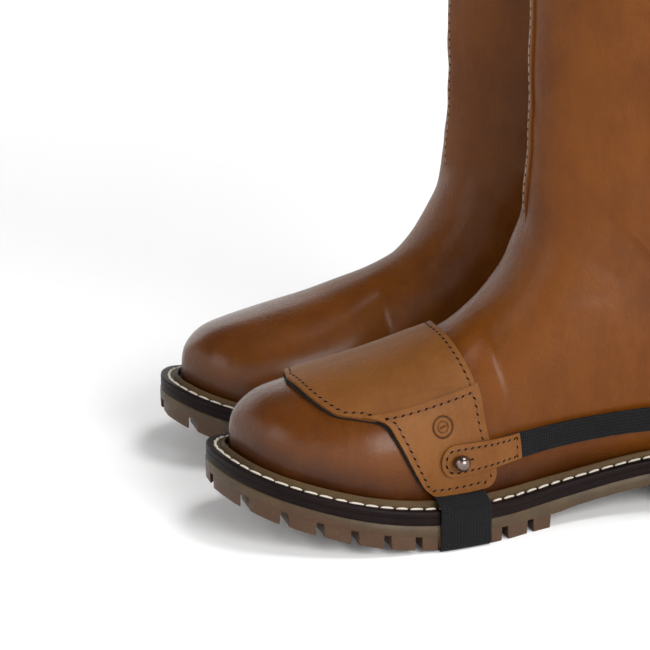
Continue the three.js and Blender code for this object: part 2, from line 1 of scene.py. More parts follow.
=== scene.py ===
# Riding boots with a strap-on shift guard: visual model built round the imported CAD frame.
import bmesh
import bpy
import numpy as np
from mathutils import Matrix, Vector

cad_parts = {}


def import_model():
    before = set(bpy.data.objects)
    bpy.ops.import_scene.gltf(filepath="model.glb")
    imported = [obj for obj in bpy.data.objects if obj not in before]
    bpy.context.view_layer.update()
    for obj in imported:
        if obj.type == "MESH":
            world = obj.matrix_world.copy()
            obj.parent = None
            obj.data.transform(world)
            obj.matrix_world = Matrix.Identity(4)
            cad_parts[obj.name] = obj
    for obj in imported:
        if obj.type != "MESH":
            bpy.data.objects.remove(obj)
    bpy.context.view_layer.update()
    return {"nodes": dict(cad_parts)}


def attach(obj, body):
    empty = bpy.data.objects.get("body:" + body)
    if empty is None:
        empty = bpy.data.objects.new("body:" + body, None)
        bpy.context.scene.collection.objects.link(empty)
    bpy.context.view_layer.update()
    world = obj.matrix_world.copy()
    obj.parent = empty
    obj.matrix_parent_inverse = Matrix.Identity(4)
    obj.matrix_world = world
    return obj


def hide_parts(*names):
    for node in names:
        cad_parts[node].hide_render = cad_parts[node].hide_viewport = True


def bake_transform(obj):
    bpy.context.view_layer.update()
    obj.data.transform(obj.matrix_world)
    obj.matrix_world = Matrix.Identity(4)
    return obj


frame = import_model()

# ---- sizes, in millimetres, as in the CAD model -------------------------------------------------
HALF_SPACING = 62.0
ORIGIN_Y = {1: 151.267, -1: 153.767}      # heel back of the left and the right boot
LENGTH = 305.0
TOP_Z = 320.0
FLAT_STACK, HEEL_RISE = 18.0, 12.0
TOE_SPRING, SPRING_START = 21.6, 195.0
FEATHER_GAP = 0.8
WALL_INSET_FORE, WALL_INSET_REAR = 11.0, 10.0
LUG_DEPTH, LUG_PITCH, FIRST_GROOVE, GROOVE = 6.4, 14.4, 165.0, 2.9
HEEL_S, THROAT_S, FOOT_N = 0.66, 0.56, 2.5
WELT_T, MIDSOLE_T, PLATE_T, LAYER_GAP = 2.8, 3.2, 5.5, 0.3
WAIST_END, HEEL_BREAST = 153.5, 86.0      # where the lugs begin and where the heel ends
LIFT_TOP, LIFT_GAP, LUG_ROOT = 8.0, 0.3, 5.6
STORM = 3.0                               # height of the welt's lip against the upper
LINING_OUT = (-3.8, -5.0)                 # the lining's two faces, from the skin
STRAP_BAND = (187.5, 212.5)
STRAP_ROOM = 1.95                         # the lugs' height over the ground where the strap passes
STUD_AT = (203.5, 39.0)
SHARP = 0.75                              # radians between faces above which an edge shades hard


def lerp(a, b, t):
    return a + (b - a) * t


def smooth(a, b, x):
    t = np.clip((np.asarray(x, float) - a) / (b - a), 0, 1)
    return t * t * (3 - 2 * t)


def bisect(below, lo, hi):
    """Where below() turns from true to false between lo and hi."""
    for _ in range(40):
        mid = (lo + hi) / 2
        low = below(mid)
        lo, hi = np.where(low, mid, lo), np.where(low, hi, mid)
    return lo


def unit(a):
    return a / np.linalg.norm(a, axis=-1, keepdims=True)


def catmull(rows):
    """Smooth curve through rows [t, value, value...]; call it with t and a column."""
    rows = np.array(rows, float)

    def look(t, c=1):
        t = np.asarray(t, float)
        n = len(rows)
        i = np.clip(np.searchsorted(rows[:, 0], t, side="left") - 1, 0, n - 2)
        p0, p1 = rows[i], rows[i + 1]
        before, after = rows[np.maximum(i - 1, 0)], rows[np.minimum(i + 2, n - 1)]
        h = p1[..., 0] - p0[..., 0]
        x = np.clip((t - p0[..., 0]) / h, 0, 1)
        m0 = (p1[..., c] - before[..., c]) / (p1[..., 0] - before[..., 0]) * h
        m1 = (after[..., c] - p0[..., c]) / (after[..., 0] - p0[..., 0]) * h
        x2, x3 = x * x, x ** 3
        return ((2 * x3 - 3 * x2 + 1) * p0[..., c] + (x3 - 2 * x2 + x) * m0
                + (3 * x2 - 2 * x3) * p1[..., c] + (x3 - x2) * m1)
    return look


# ---- sole outline --------------------------------------------------------------------------------
LATERAL = [(0, 0), (3, 18), (12, 31), (35, 39), (70, 39), (110, 33.5), (150, 38), (185, 50.5),
           (215, 56), (243, 55.5), (268, 47.5), (287, 36), (299, 19.5), (305, -6)]
MEDIAL = [(0, 0), (3, -18), (12, -31), (35, -38), (70, -36), (110, -31.5), (150, -33.5),
          (185, -43.5), (212, -50.5), (238, -52.5), (264, -48.5), (284, -40), (298, -26), (305, -6)]


def centripetal_loop(points, per=24):
    """Closed centripetal Catmull-Rom loop through the points."""
    p = np.array(points, float)
    out = []
    n = len(p)
    for i in range(n):
        p0, p1, p2, p3 = (p[(i + k) % n] for k in (-1, 0, 1, 2))
        d0, d1, d2 = (max(np.linalg.norm(b - a) ** 0.5, 1e-6) for a, b in ((p0, p1), (p1, p2), (p2, p3)))
        t1 = ((p1 - p0) / d0 - (p2 - p0) / (d0 + d1) + (p2 - p1) / d1) * d1
        t2 = ((p2 - p1) / d1 - (p3 - p1) / (d1 + d2) + (p3 - p2) / d2) * d1
        x = np.linspace(0, 1, per, endpoint=False)[:, None]
        out.append((2 * x ** 3 - 3 * x ** 2 + 1) * p1 + (x ** 3 - 2 * x ** 2 + x) * t1
                   + (3 * x ** 2 - 2 * x ** 3) * p2 + (x ** 3 - x ** 2) * t2)
    return np.concatenate(out)


OUTLINE = centripetal_loop(LATERAL + MEDIAL[1:-1][::-1])


class Inset:
    """The sole outline moved inward by a distance, which may depend on u."""

    def __init__(self, distance):
        t = np.roll(OUTLINE, -1, 0) - np.roll(OUTLINE, 1, 0)
        t /= np.linalg.norm(t, axis=1)[:, None]
        d = distance(OUTLINE[:, 0]) if callable(distance) else distance
        ring = OUTLINE + np.stack([t[:, 1], -t[:, 0]], 1) * np.reshape(d, (-1, 1))
        toe, heel = int(ring[:, 0].argmax()), int(ring[:, 0].argmin())
        turned = np.roll(ring, -heel, 0)
        k = (toe - heel) % len(ring)
        self.sides = (turned[:k + 1], np.vstack([turned[k:], turned[:1]])[::-1])
        self.u_min, self.u_max = ring[heel, 0], ring[toe, 0]

    def v(self, u, side):
        line = self.sides[0 if side > 0 else 1]
        u_line = np.maximum.accumulate(line[:, 0])
        return np.interp(u, u_line, line[:, 1])


def wall_inset(u):
    return lerp(WALL_INSET_REAR, WALL_INSET_FORE, smooth(90, 190, u))


def spring(u):
    return TOE_SPRING * (np.maximum(np.asarray(u, float) - SPRING_START, 0) / 110) ** 1.8


def welt_top(u):
    return FLAT_STACK + spring(u) + HEEL_RISE * (1 - smooth(60, 175, u))


FEATHER = Inset(wall_inset)
TOE_U, HEEL_U = FEATHER.u_max, FEATHER.u_min
TOE_V = float(FEATHER.v(TOE_U, 1))
EDGE = Inset(0.0)

# [s, ridge u, ridge z, end u, end z or -1 for the feather line, half-breadth halfway along]
SECTIONS = [
    [0.00, TOE_U + 0.4, 45, TOE_U, -1, 0], [0.03, 292.5, 53, 292.5, -1, 0],
    [0.06, 287, 58.5, 287, -1, 0], [0.10, 279, 63.1, 279, -1, 0], [0.15, 266, 66.6, 266, -1, 0],
    [0.21, 247, 70.9, 247, -1, 10], [0.28, 226, 76, 225, -1, 20], [0.34, 208, 81.9, 206, -1, 26],
    [0.39, 193.3, 87.1, 188, -1, 28.5], [0.43, 182.8, 92.9, 170, -1, 30.5],
    [0.47, 172.8, 101.1, 150, -1, 32.5], [0.51, 163.4, 113.5, 126, -1, 35],
    [0.55, 157.3, 127.8, 96, -1, 37], [0.59, 154.2, 143, 60, -1, 39], [0.63, 153, 157.5, 26, -1, 40.5],
    [0.66, 152.6, 168, HEEL_U, 33, 41], [0.70, 152.5, 182, 7, 50, 41.5],
    [0.74, 152.5, 196, 10, 72, 42], [0.78, 152.6, 212, 19, 102, 43], [0.83, 152.7, 232, 28, 140, 45],
    [0.88, 152.8, 256, 30, 190, 49], [0.94, 152.6, 288, 27, 264, 53],
    [0.98, 152.5, 309, 25, 308, 55.3], [1.00, 152.4, TOP_Z, 24, TOP_Z, 56]]
section = catmull(SECTIONS)
HALFWAY = (1 - 0.5 ** FOOT_N) ** (1 / FOOT_N)


def upper_point(s, q):
    """Point on the upper: q is 0 on the ridge, 1 at a section's lateral end and -1 at its medial end."""
    s, q = np.broadcast_arrays(np.asarray(s, float), np.asarray(q, float))
    side = np.where(q < 0, -1.0, 1.0)
    a = np.minimum(np.abs(q), 1)
    beta = smooth(0.4, HEEL_S, s)
    sigma = np.clip(lerp(1 - np.cos(a * np.pi / 2), (1 - np.cos(a * np.pi)) / 2, beta), 0, 1)
    end_u = np.clip(section(s, 3), HEEL_U, TOE_U)
    lifted = welt_top(end_u) + FEATHER_GAP
    end_z = np.where(s <= HEEL_S, lifted,
                     lerp(lifted, section(s, 4), smooth(HEEL_S, HEEL_S + 0.012, s)))
    mid = lerp(TOE_V, -3, smooth(0, 0.2, s)) * (1 - smooth(0.35, 0.6, s))
    rim = np.where(side > 0, FEATHER.v(end_u, 1) - mid, mid - FEATHER.v(end_u, -1))
    edge = np.where(s < HEEL_S, np.maximum(0, rim), 0)
    foot = edge * (1 - (1 - sigma) ** FOOT_N) ** (1 / FOOT_N)
    bulge = edge * 0.05 * np.sin(np.pi * sigma) * (1 - beta)
    soft = lerp(1.2, 0.5, smooth(0.42, HEEL_S, s))
    tube = (np.maximum(0, section(s, 5) - HALFWAY * edge)
            * (2 * sigma) ** 0.5 * (2 - 2 * sigma) ** soft)
    return np.stack([lerp(section(s, 1), end_u, sigma), mid + side * (foot + bulge + tube),
                     lerp(section(s, 2), end_z, sigma)], -1)


def upper_normal(s, q, h=0.004):
    s, q = np.broadcast_arrays(np.asarray(s, float), np.asarray(q, float))
    lo, hi = q - h, q + h
    below = s < HEEL_S
    hi = np.where(hi > 1, np.where(below, 1.0, hi - 2), hi)
    lo = np.where(lo < -1, np.where(below, -1.0, lo + 2), lo)
    dq = upper_point(s, hi) - upper_point(s, lo)
    ds = upper_point(np.minimum(1, s + h), q) - upper_point(np.maximum(0, s - h), q)
    n = np.cross(dq, ds)
    n[..., 1] = np.where((s == 0) | ((s >= HEEL_S) & (np.abs(q) == 1)), 0, n[..., 1])
    return n / np.linalg.norm(n, axis=-1, keepdims=True)


def skin(s, q, out=0.0):
    """Point at a distance outside the skin; a negative distance stays above the welt."""
    p = upper_point(s, q) + upper_normal(s, q) * np.asarray(out, float)[..., None]
    inside = np.broadcast_to(np.asarray(out, float) < 0, p.shape[:-1])
    p[..., 2] = np.where(inside, np.clip(p[..., 2], welt_top(p[..., 0]) + FEATHER_GAP, TOP_Z), p[..., 2])
    return p


_LS, _LQ = np.meshgrid(np.linspace(0, 1, 201), np.linspace(0.02, 1, 80), indexing="ij")
_LOOK = {side: upper_point(_LS, side * _LQ)[..., [0, 2]].reshape(-1, 2) for side in (1, -1)}


def locate(u, z, side=1):
    """(s, q) of the skin points seen in side view at (u, z)."""
    u, z = (np.atleast_1d(np.asarray(a, float)) for a in np.broadcast_arrays(u, z))
    s, q = np.empty(len(u)), np.empty(len(u))
    for i in range(len(u)):
        d = (_LOOK[side][:, 0] - u[i]) ** 2 + (_LOOK[side][:, 1] - z[i]) ** 2
        k = int(d.argmin())
        s[i], q[i] = _LS.ravel()[k], side * _LQ.ravel()[k]
    h = 1e-4
    for _ in range(10):
        p, ps, pq = upper_point(s, q), upper_point(s + h, q), upper_point(s, q + h)
        a, b = (ps[:, 0] - p[:, 0]) / h, (pq[:, 0] - p[:, 0]) / h
        c, d = (ps[:, 2] - p[:, 2]) / h, (pq[:, 2] - p[:, 2]) / h
        det = a * d - b * c
        det = np.where(np.abs(det) < 1e-6, 1e-6, det)
        eu, ez = u - p[:, 0], z - p[:, 2]
        s = np.clip(s + np.clip((eu * d - ez * b) / det, -0.02, 0.02), 0, 1)
        q = np.clip(q + np.clip((ez * a - eu * c) / det, -0.05, 0.05), -1, 1)
    return s, q


# ---- mesh building -------------------------------------------------------------------------------
def world(points, side):
    """Boot coordinates (forward, outward, up) in mm to the row frame in metres."""
    p = np.asarray(points, float)
    return np.stack([side * (HALF_SPACING + p[..., 1]), ORIGIN_Y[side] - p[..., 0], p[..., 2]], -1) / 1000


def make(name, side, verts, faces, material, node=None, body=None, uv=None, weld=1e-6, slot=None,
         bevel=0.0, smooth_shade=True, blended=False):
    """One mesh object from boot-local points; it replaces a CAD node and, unless blended is set, rides on a
    body.
    """
    mesh = bpy.data.meshes.new(name)
    mesh.from_pydata(world(verts, side).tolist(), [], [list(dict.fromkeys(map(int, f))) for f in faces])
    if uv is not None:
        attribute = mesh.attributes.new("strap_mm", "FLOAT_VECTOR", "POINT")
        attribute.data.foreach_set("vector", np.asarray(uv, np.float32).ravel())
    bm = bmesh.new()
    bm.from_mesh(mesh)
    if weld:
        bmesh.ops.remove_doubles(bm, verts=bm.verts, dist=weld)
    bmesh.ops.recalc_face_normals(bm, faces=bm.faces)
    bm.to_mesh(mesh)
    bm.free()
    mesh.shade_smooth() if smooth_shade else mesh.shade_flat()
    if smooth_shade:
        mesh.set_sharp_from_angle(angle=SHARP)
    obj = bpy.data.objects.new(name, mesh)
    bpy.context.scene.collection.objects.link(obj)
    mesh.materials.append(material)
    if bevel:
        mod = obj.modifiers.new("edge", "BEVEL")
        mod.width = bevel / 1000
        mod.segments = 3
        mod.limit_method = "ANGLE"
        mod.angle_limit = 0.7
        mod.harden_normals = False
    if not blended:
        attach(obj, body or BODY[side])
    if node:
        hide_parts(node)
    return obj


def grid_faces(rows, cols, start=0, wrap=False, flip=False):
    i, j = np.meshgrid(np.arange(rows - 1), np.arange(cols if wrap else cols - 1), indexing="ij")
    k = (j + 1) % cols
    f = np.stack([start + i * cols + j, start + (i + 1) * cols + j,
                  start + (i + 1) * cols + k, start + i * cols + k], -1).reshape(-1, 4)
    return f[:, ::-1] if flip else f


def shell(outer, inner, wrap=False):
    """Closed sheet between two grids of points: (verts, faces)."""
    rows, cols = outer.shape[:2]
    n = rows * cols
    idx = np.arange(n).reshape(rows, cols)
    rims = [idx[0], idx[-1][::-1]]
    if wrap:
        rims = [np.append(rim, rim[0]) for rim in rims]
    else:
        rims += [idx[:, 0][::-1], idx[:, -1]]
    faces = [grid_faces(rows, cols, wrap=wrap), grid_faces(rows, cols, n, wrap, flip=True)]
    faces += [np.stack([rim[:-1], rim[1:], rim[1:] + n, rim[:-1] + n], -1) for rim in rims]
    return np.concatenate([outer.reshape(-1, 3), inner.reshape(-1, 3)]), np.concatenate(faces)


class Blocks:
    """Prisms gathered into one mesh."""

    def __init__(self, verts=(), faces=()):
        self.verts, self.faces = [verts] if len(verts) else [], list(faces)
        self.total = len(verts)

    def add(self, low, high):
        m, k = len(low), self.total
        ends = [[k + i for i in range(m)][::-1], [k + m + i for i in range(m)]]
        self.faces += ends + [[k + i, k + (i + 1) % m, k + m + (i + 1) % m, k + m + i] for i in range(m)]
        self.verts.append(np.vstack([low, high]))
        self.total += 2 * m

    def make(self, name, side, node):
        make(name, side, np.concatenate(self.verts), self.faces, GUM, node, weld=0, bevel=0.55)


def arc_lengths(points):
    return np.concatenate([[0], np.cumsum(np.linalg.norm(np.diff(points, axis=0), axis=1))])


def resample(points, normals, pitch, start=0.0):
    """Points, tangents and normals spaced by about a pitch along a path."""
    length = arc_lengths(points)
    total = length[-1] - start
    count = max(2, int(round(total / pitch)))
    at = start + (np.arange(count) + 0.5) * total / count
    pick = lambda a, x: np.stack([np.interp(x, length, a[:, k]) for k in range(3)], -1)
    p = pick(points, at)
    t = pick(points, np.minimum(at + 0.4, length[-1])) - pick(points, np.maximum(at - 0.4, 0))
    return p, unit(t), unit(pick(normals, at)), total / count


def turned(t, b, angle):
    """A tangent and its cross direction turned about the normal."""
    c, s = np.cos(angle), np.sin(angle)
    return t * c + b * s, b * c - t * s


def stitches(name, side, path, normals, pitch, length, radius, material, body=None, slant=0.0,
             lift=0.25, start=0.0, hole_r=(0.55, 0.55), seed=1):
    """A row of separate thread stitches, each a small puffed capsule, with dark discs between them that
    paint the shade inside the needle holes.
    """
    p, t, n, step = resample(np.asarray(path, float), np.asarray(normals, float), pitch, start)
    b = np.cross(n, t)
    wob = np.random.default_rng(seed).normal(0, 1, (len(p), 3))
    rings, around, flat = 7, 8, 0.8
    x = np.cos(np.linspace(np.pi, 0, rings))
    r = np.sqrt(np.clip(1 - x ** 4, 0, 1))
    ang = np.linspace(0, 2 * np.pi, around, endpoint=False)
    verts, faces = [], []
    ring_faces = grid_faces(rings, around, 0, wrap=True)
    for i in range(len(p)):
        tt, bb = turned(t[i], b[i], slant + 0.05 * wob[i, 0])
        scale = 1 + 0.06 * wob[i, 1]
        sag = lift - 0.35 * radius * np.abs(x) ** 3
        centre = p[i] + np.outer(x * length / 2 * scale, tt) + np.outer(sag, n[i])
        round_it = np.cos(ang)[None, :, None] * bb + np.sin(ang)[None, :, None] * n[i] * flat
        verts.append((centre[:, None] + round_it * (r[:, None, None] * radius)).reshape(-1, 3))
        faces.append(ring_faces + i * rings * around)
    make(name, side, np.concatenate(verts), np.concatenate(faces), material, body=body, weld=5e-7)

    # The needle holes are flat dark discs at each stitch end: painted shade standing in for the opening,
    # with no hole cut into the leather.
    long_r, wide_r = hole_r
    ends = np.concatenate([p - t * step / 2, p[-1:] + t[-1:] * step / 2])
    t, n = np.concatenate([t, t[-1:]]), np.concatenate([n, n[-1:]])
    ta, tb = turned(t, np.cross(n, t), 0.45 if long_r > wide_r else 0)
    dots, dot_faces, m = [], [], 8
    for i in range(len(ends)):
        top = ends[i] + np.outer(np.cos(ang), ta[i] * long_r) + np.outer(np.sin(ang), tb[i] * wide_r)
        dots += [top + n[i] * 0.07, top - n[i] * 0.3]
        k = i * 2 * m
        dot_faces += [[k + j for j in range(m)], [k + m + j for j in range(m)][::-1]]
        dot_faces += [[k + j, k + m + j, k + m + (j + 1) % m, k + (j + 1) % m] for j in range(m)]
    make(name + "_hole_shade", side, np.concatenate(dots), dot_faces, HOLE_SHADE, body=body, weld=0,
         smooth_shade=False)


def wobble(p, scale, amount, seed=0):
    """Smooth pseudo-random field over points in mm."""
    rng = np.random.default_rng(seed)
    out = np.zeros(p.shape[:-1])
    for _ in range(9):
        k = rng.normal(0, 1, 3)
        k *= 2 * np.pi / (scale * rng.uniform(0.7, 1.6)) / np.linalg.norm(k)
        out += np.sin(p @ k + rng.uniform(0, 6.28))
    return out * amount / 3


# ---- materials ----------------------------------------------------------------------------------
class Shader:
    """Small builder for node materials."""

    def __init__(self, name):
        self.material = bpy.data.materials.new(name)
        self.material.use_nodes = True
        self.tree = self.material.node_tree
        self.tree.nodes.clear()
        self.bsdf = self.add("ShaderNodeBsdfPrincipled")
        out = self.add("ShaderNodeOutputMaterial")
        self.link(self.bsdf.outputs[0], out.inputs["Surface"])
        self.coords = self.add("ShaderNodeTexCoord").outputs["Object"]

    def add(self, kind, inputs=(), **settings):
        node = self.tree.nodes.new(kind)
        for key, value in settings.items():
            setattr(node, key, value)
        for key, value in dict(inputs).items():
            self.put(node.inputs[key], value)
        return node

    def link(self, a, b):
        self.tree.links.new(a, b)

    def put(self, socket, value):
        if isinstance(value, bpy.types.NodeSocket):
            self.link(value, socket)
        elif isinstance(value, tuple) and len(value) == 3 and socket.type == "RGBA":
            socket.default_value = (*value, 1)
        else:
            socket.default_value = value

    def set(self, **values):
        for key, value in values.items():
            self.put(self.bsdf.inputs[key.replace("_", " ")], value)

    def noise(self, scale, detail=4.0, rough=0.55, vector=None, distortion=0.0):
        return self.add("ShaderNodeTexNoise", dict(
            Scale=scale, Detail=detail, Roughness=rough, Distortion=distortion,
            Vector=vector or self.coords)).outputs["Fac"]

    def cells(self, scale):
        return self.add("ShaderNodeTexVoronoi", dict(Scale=scale, Vector=self.coords)).outputs["Distance"]

    def math(self, op, a, b=0.0):
        return self.add("ShaderNodeMath", {0: a, 1: b}, operation=op).outputs[0]

    def plus(self, a, b):
        return self.math("ADD", a, b)

    def minus(self, a, b):
        return self.math("SUBTRACT", a, b)

    def times(self, a, b):
        return self.math("MULTIPLY", a, b)

    def ramp(self, value, a, b, lo=0.0, hi=1.0):
        inputs = {"Value": value, "From Min": a, "From Max": b, "To Min": lo, "To Max": hi}
        return self.add("ShaderNodeMapRange", inputs, interpolation_type="SMOOTHSTEP").outputs[0]

    def mix(self, factor, a, b):
        node = self.add("ShaderNodeMix", {0: factor, 6: a, 7: b}, data_type="RGBA")
        return node.outputs[2]

    def axis(self, name, vector=None):
        return self.add("ShaderNodeSeparateXYZ", {0: vector or self.coords}).outputs[name]

    def scaled(self, x, y, z):
        return self.add("ShaderNodeMapping", dict(Vector=self.coords, Scale=(x, y, z))).outputs[0]

    def attribute(self, name):
        return self.add("ShaderNodeAttribute", attribute_name=name).outputs["Vector"]

    def bump(self, height, distance, strength):
        node = self.add("ShaderNodeBump", dict(Strength=strength, Distance=distance, Height=height))
        self.link(node.outputs[0], self.bsdf.inputs["Normal"])
        return self.material


def leather(name, light, dark, burnt, rough=(0.33, 0.5), coat=0.25, coat_rough=0.3, burnish=True,
            grain=1.0, mottled=0.5, shine=0.2, pressed=False):
    """Tan leather: pebbled pores, faint creases, cloudy dye, a darker burnished toe and heel, and darker
    towards the bottom of the upper.
    """
    s = Shader(name)
    cloud = s.noise(18, 5, 0.6)
    streak = s.noise(60, 6, 0.7, s.scaled(1, 1, 0.45))
    tone = s.plus(s.times(s.ramp(cloud, 0.3, 0.7), mottled),
                  s.times(s.ramp(streak, 0.35, 0.7), 1 - mottled))
    color = s.mix(s.times(tone, 0.75), light, dark)
    pores = s.cells(900)
    fine = s.noise(1500, 3, 0.6)
    color = s.mix(s.ramp(pores, 0.0, 0.25, 0.35 * grain, 0.0), color, dark)
    if burnish:
        toe = s.ramp(s.axis("Y"), -0.07, -0.145)
        # Darker towards the bottom of the upper, fading out about 43 mm above the ground line, which rises
        # with the toe spring.
        low = s.ramp(s.minus(s.axis("Z"), s.ramp(s.axis("Y"), -0.06, -0.155, 0.0, 0.02)),
                     0.043, 0.017)
        back = s.ramp(s.axis("Y"), 0.10, 0.15)
        dark_here = s.math("MAXIMUM", s.times(toe, 0.5), s.times(low, 0.9))
        dark_here = s.math("MAXIMUM", dark_here, s.times(back, 0.4))
        dark_here = s.times(dark_here, s.ramp(s.noise(30, 4), 0.2, 0.65, 0.65, 1.0))
        color = s.mix(dark_here, color, burnt)
        toe_gloss = s.ramp(s.axis("Y"), -0.05, -0.12)
        rough_value = s.minus(s.ramp(fine, 0.3, 0.7, *rough), s.times(toe_gloss, 0.06))
        coat = s.plus(s.times(toe_gloss, 0.25), coat)
    else:
        rough_value = s.ramp(fine, 0.3, 0.7, *rough)
    if pressed:
        groove = s.axis("X", s.attribute("strap_mm"))
        color = s.mix(s.times(s.ramp(groove, 0.25, 0.8), 0.8), color, (0.02, 0.007, 0.002))
    s.set(Base_Color=color, Roughness=rough_value, Coat_Weight=coat, Coat_Roughness=coat_rough,
          Specular_IOR_Level=shine)
    crease = s.math("ABSOLUTE", s.minus(s.noise(75, 5, 0.6, distortion=1.2), 0.5))
    height = s.plus(s.times(s.ramp(pores, 0, 0.45), 0.55 * grain),
                    s.times(fine, 0.35 * grain))
    height = s.plus(height, s.times(s.ramp(crease, 0.0, 0.05), 0.9))
    return s.bump(height, 0.00016, 0.55)


def simple(name, color, rough, bump_scale=900, bump=0.0001, vary=0.2, metal=0.0, shine=0.2, **extra):
    """Plain stuff with fine tooth and slight colour variation."""
    s = Shader(name)
    n = s.noise(bump_scale, 4, 0.6)
    cloud = s.noise(45, 4, 0.6)
    darker = tuple(c * (1 - vary) for c in color)
    lighter = tuple(min(1, c * (1 + vary)) for c in color)
    s.set(Base_Color=s.mix(s.ramp(cloud, 0.3, 0.7), darker, lighter),
          Roughness=s.ramp(n, 0.3, 0.7, rough - 0.08, rough + 0.08), Metallic=metal,
          Specular_IOR_Level=shine, **extra)
    return s.bump(n, bump, 0.6)


def gum(name):
    """Translucent gum rubber, browner and a little darker within a few millimetres of the ground, with
    moulding marks and scuffs.
    """
    s = Shader(name)
    cloud = s.noise(38, 5, 0.62)
    color = s.mix(s.ramp(cloud, 0.3, 0.75), (0.060, 0.037, 0.015), (0.032, 0.018, 0.007))
    # Browner and a little darker within about 4 to 8.5 mm of the ground line.
    above_ground = s.minus(s.axis("Z"), s.ramp(s.axis("Y"), -0.05, -0.155, 0, 0.02))
    near_ground_tone = s.times(s.ramp(above_ground, 0.0085, 0.004), 0.7)
    color = s.mix(near_ground_tone, color, (0.055, 0.021, 0.008))
    speck = s.noise(700, 3, 0.6)
    color = s.mix(s.ramp(speck, 0.55, 0.75, 0, 0.4), color, (0.115, 0.075, 0.04))
    s.set(Base_Color=color, Roughness=s.ramp(speck, 0.3, 0.7, 0.42, 0.6), Subsurface_Weight=0.12,
          Subsurface_Radius=(0.004, 0.002, 0.001), Subsurface_Scale=1.0, Specular_IOR_Level=0.3)
    return s.bump(s.plus(speck, s.times(s.noise(160, 3), 0.8)), 0.0002, 0.5)


def elastic(name):
    """Black woven elastic: fine ribs across the band and a tight weave, laid by the strap_mm attribute."""
    s = Shader(name)
    uv = s.attribute("strap_mm")
    along, across = s.axis("X", uv), s.axis("Y", uv)
    rib = s.math("ABSOLUTE", s.math("SINE", s.times(along, np.pi / 0.9)))
    rib2 = s.math("ABSOLUTE", s.math("SINE", s.times(across, np.pi / 1.6)))
    fuzz = s.noise(2600, 3, 0.7)
    height = s.plus(s.times(rib, 0.8), s.times(rib2, 0.35))
    height = s.plus(height, s.times(fuzz, 0.5))
    s.set(Base_Color=s.mix(s.times(rib, rib2), (0.0025, 0.0025, 0.003), (0.010, 0.010, 0.011)),
          Roughness=s.ramp(fuzz, 0.3, 0.7, 0.7, 0.9), Sheen_Weight=0.02, Sheen_Roughness=0.5,
          Specular_IOR_Level=0.12)
    return s.bump(height, 0.00028, 0.9)


def pale_floor(name):
    """White studio floor that stays bright far from the lamps."""
    s = Shader(name)
    far = s.add("ShaderNodeVectorMath", {0: s.coords}, operation="LENGTH")
    s.set(Base_Color=(0.95, 0.95, 0.95), Roughness=0.9, Emission_Color=(1, 1, 1),
          Emission_Strength=s.ramp(far.outputs["Value"], 0.35, 2.4, 0.02, 0.55))
    return s.bump(s.noise(30), 0.00001, 0.3)


def thread(name, color):
    """Twisted waxed thread."""
    s = Shader(name)
    twist = s.add("ShaderNodeTexWave", dict(Scale=900, Vector=s.coords), wave_type="BANDS",
                  bands_direction="DIAGONAL").outputs["Fac"]
    lint = s.noise(2500, 2, 0.6)
    darker = tuple(c * 0.55 for c in color)
    s.set(Base_Color=s.mix(s.times(twist, 0.5), color, darker), Roughness=0.75,
          Sheen_Weight=0.1)
    return s.bump(s.plus(twist, lint), 0.0002, 0.7)


TAN = leather("tan_leather", (0.124, 0.0365, 0.0036), (0.066, 0.0165, 0.0014), (0.018, 0.0036, 0.0004),
              rough=(0.33, 0.47), coat=0.12, coat_rough=0.24, shine=0.08)
GUARD_TONES = ((0.165, 0.063, 0.0135), (0.100, 0.032, 0.0055), (0.06, 0.015, 0.003))
GUARD_FINISH = dict(rough=(0.46, 0.6), coat=0.02, coat_rough=0.4, burnish=False, grain=1.25, shine=0.12)
GUARD = leather("guard_leather", *GUARD_TONES, **GUARD_FINISH)
GUARD_MARKED = leather("guard_leather_marked", *GUARD_TONES, **GUARD_FINISH, pressed=True)
LINING = leather("lining_leather", (0.46, 0.29, 0.16), (0.36, 0.21, 0.11), (0.2, 0.1, 0.05),
                 rough=(0.6, 0.75), coat=0.0, coat_rough=0.5, burnish=False, grain=0.7)
FOOTBED = leather("footbed_leather", (0.40, 0.24, 0.12), (0.30, 0.17, 0.08), (0.2, 0.1, 0.05),
                  rough=(0.6, 0.75), coat=0.0, coat_rough=0.5, burnish=False, grain=0.6)
WELT = leather("welt_leather", (0.080, 0.049, 0.022), (0.045, 0.026, 0.011), (0.03, 0.015, 0.008),
               rough=(0.5, 0.66), coat=0.0, coat_rough=0.4, burnish=False, grain=0.8, shine=0.1)
DARK_RUBBER = simple("dark_midsole", (0.0075, 0.0036, 0.0034), 0.5, 1200, shine=0.08)
GUM = gum("gum_rubber")
BOARD = simple("insole_board", (0.42, 0.30, 0.18), 0.85, 1500, vary=0.12)
CORK = simple("cork", (0.33, 0.19, 0.09), 0.9, 700, 0.0004, vary=0.35)
STEEL = simple("shank_steel", (0.5, 0.5, 0.52), 0.35, 1800, metal=1.0)
STIFF = simple("stiffener", (0.60, 0.55, 0.45), 0.8, 1500, vary=0.1)
FABRIC = simple("black_fabric", (0.0075, 0.0075, 0.008), 0.85, 2200, 0.0003)
ELASTIC = elastic("black_elastic")
METAL = simple("gunmetal", (0.20, 0.15, 0.135), 0.25, 2500, 0.00003, metal=1.0, shine=0.5)
WELT_THREAD = thread("welt_thread", (0.62, 0.56, 0.47))
SEAM_THREAD = thread("seam_thread", (0.36, 0.24, 0.13))
GUARD_THREAD = thread("guard_thread", (0.105, 0.036, 0.009))
# Painted shade: colour of the dark discs that stand in for the shade inside needle holes.
HOLE_SHADE = simple("needle_hole_shade", (0.007, 0.003, 0.0015), 0.9, shine=0.0)
FLOOR = pale_floor("floor")

BODY = {1: "left_boot", -1: "right_boot"}
NAME = {1: "left", -1: "right"}


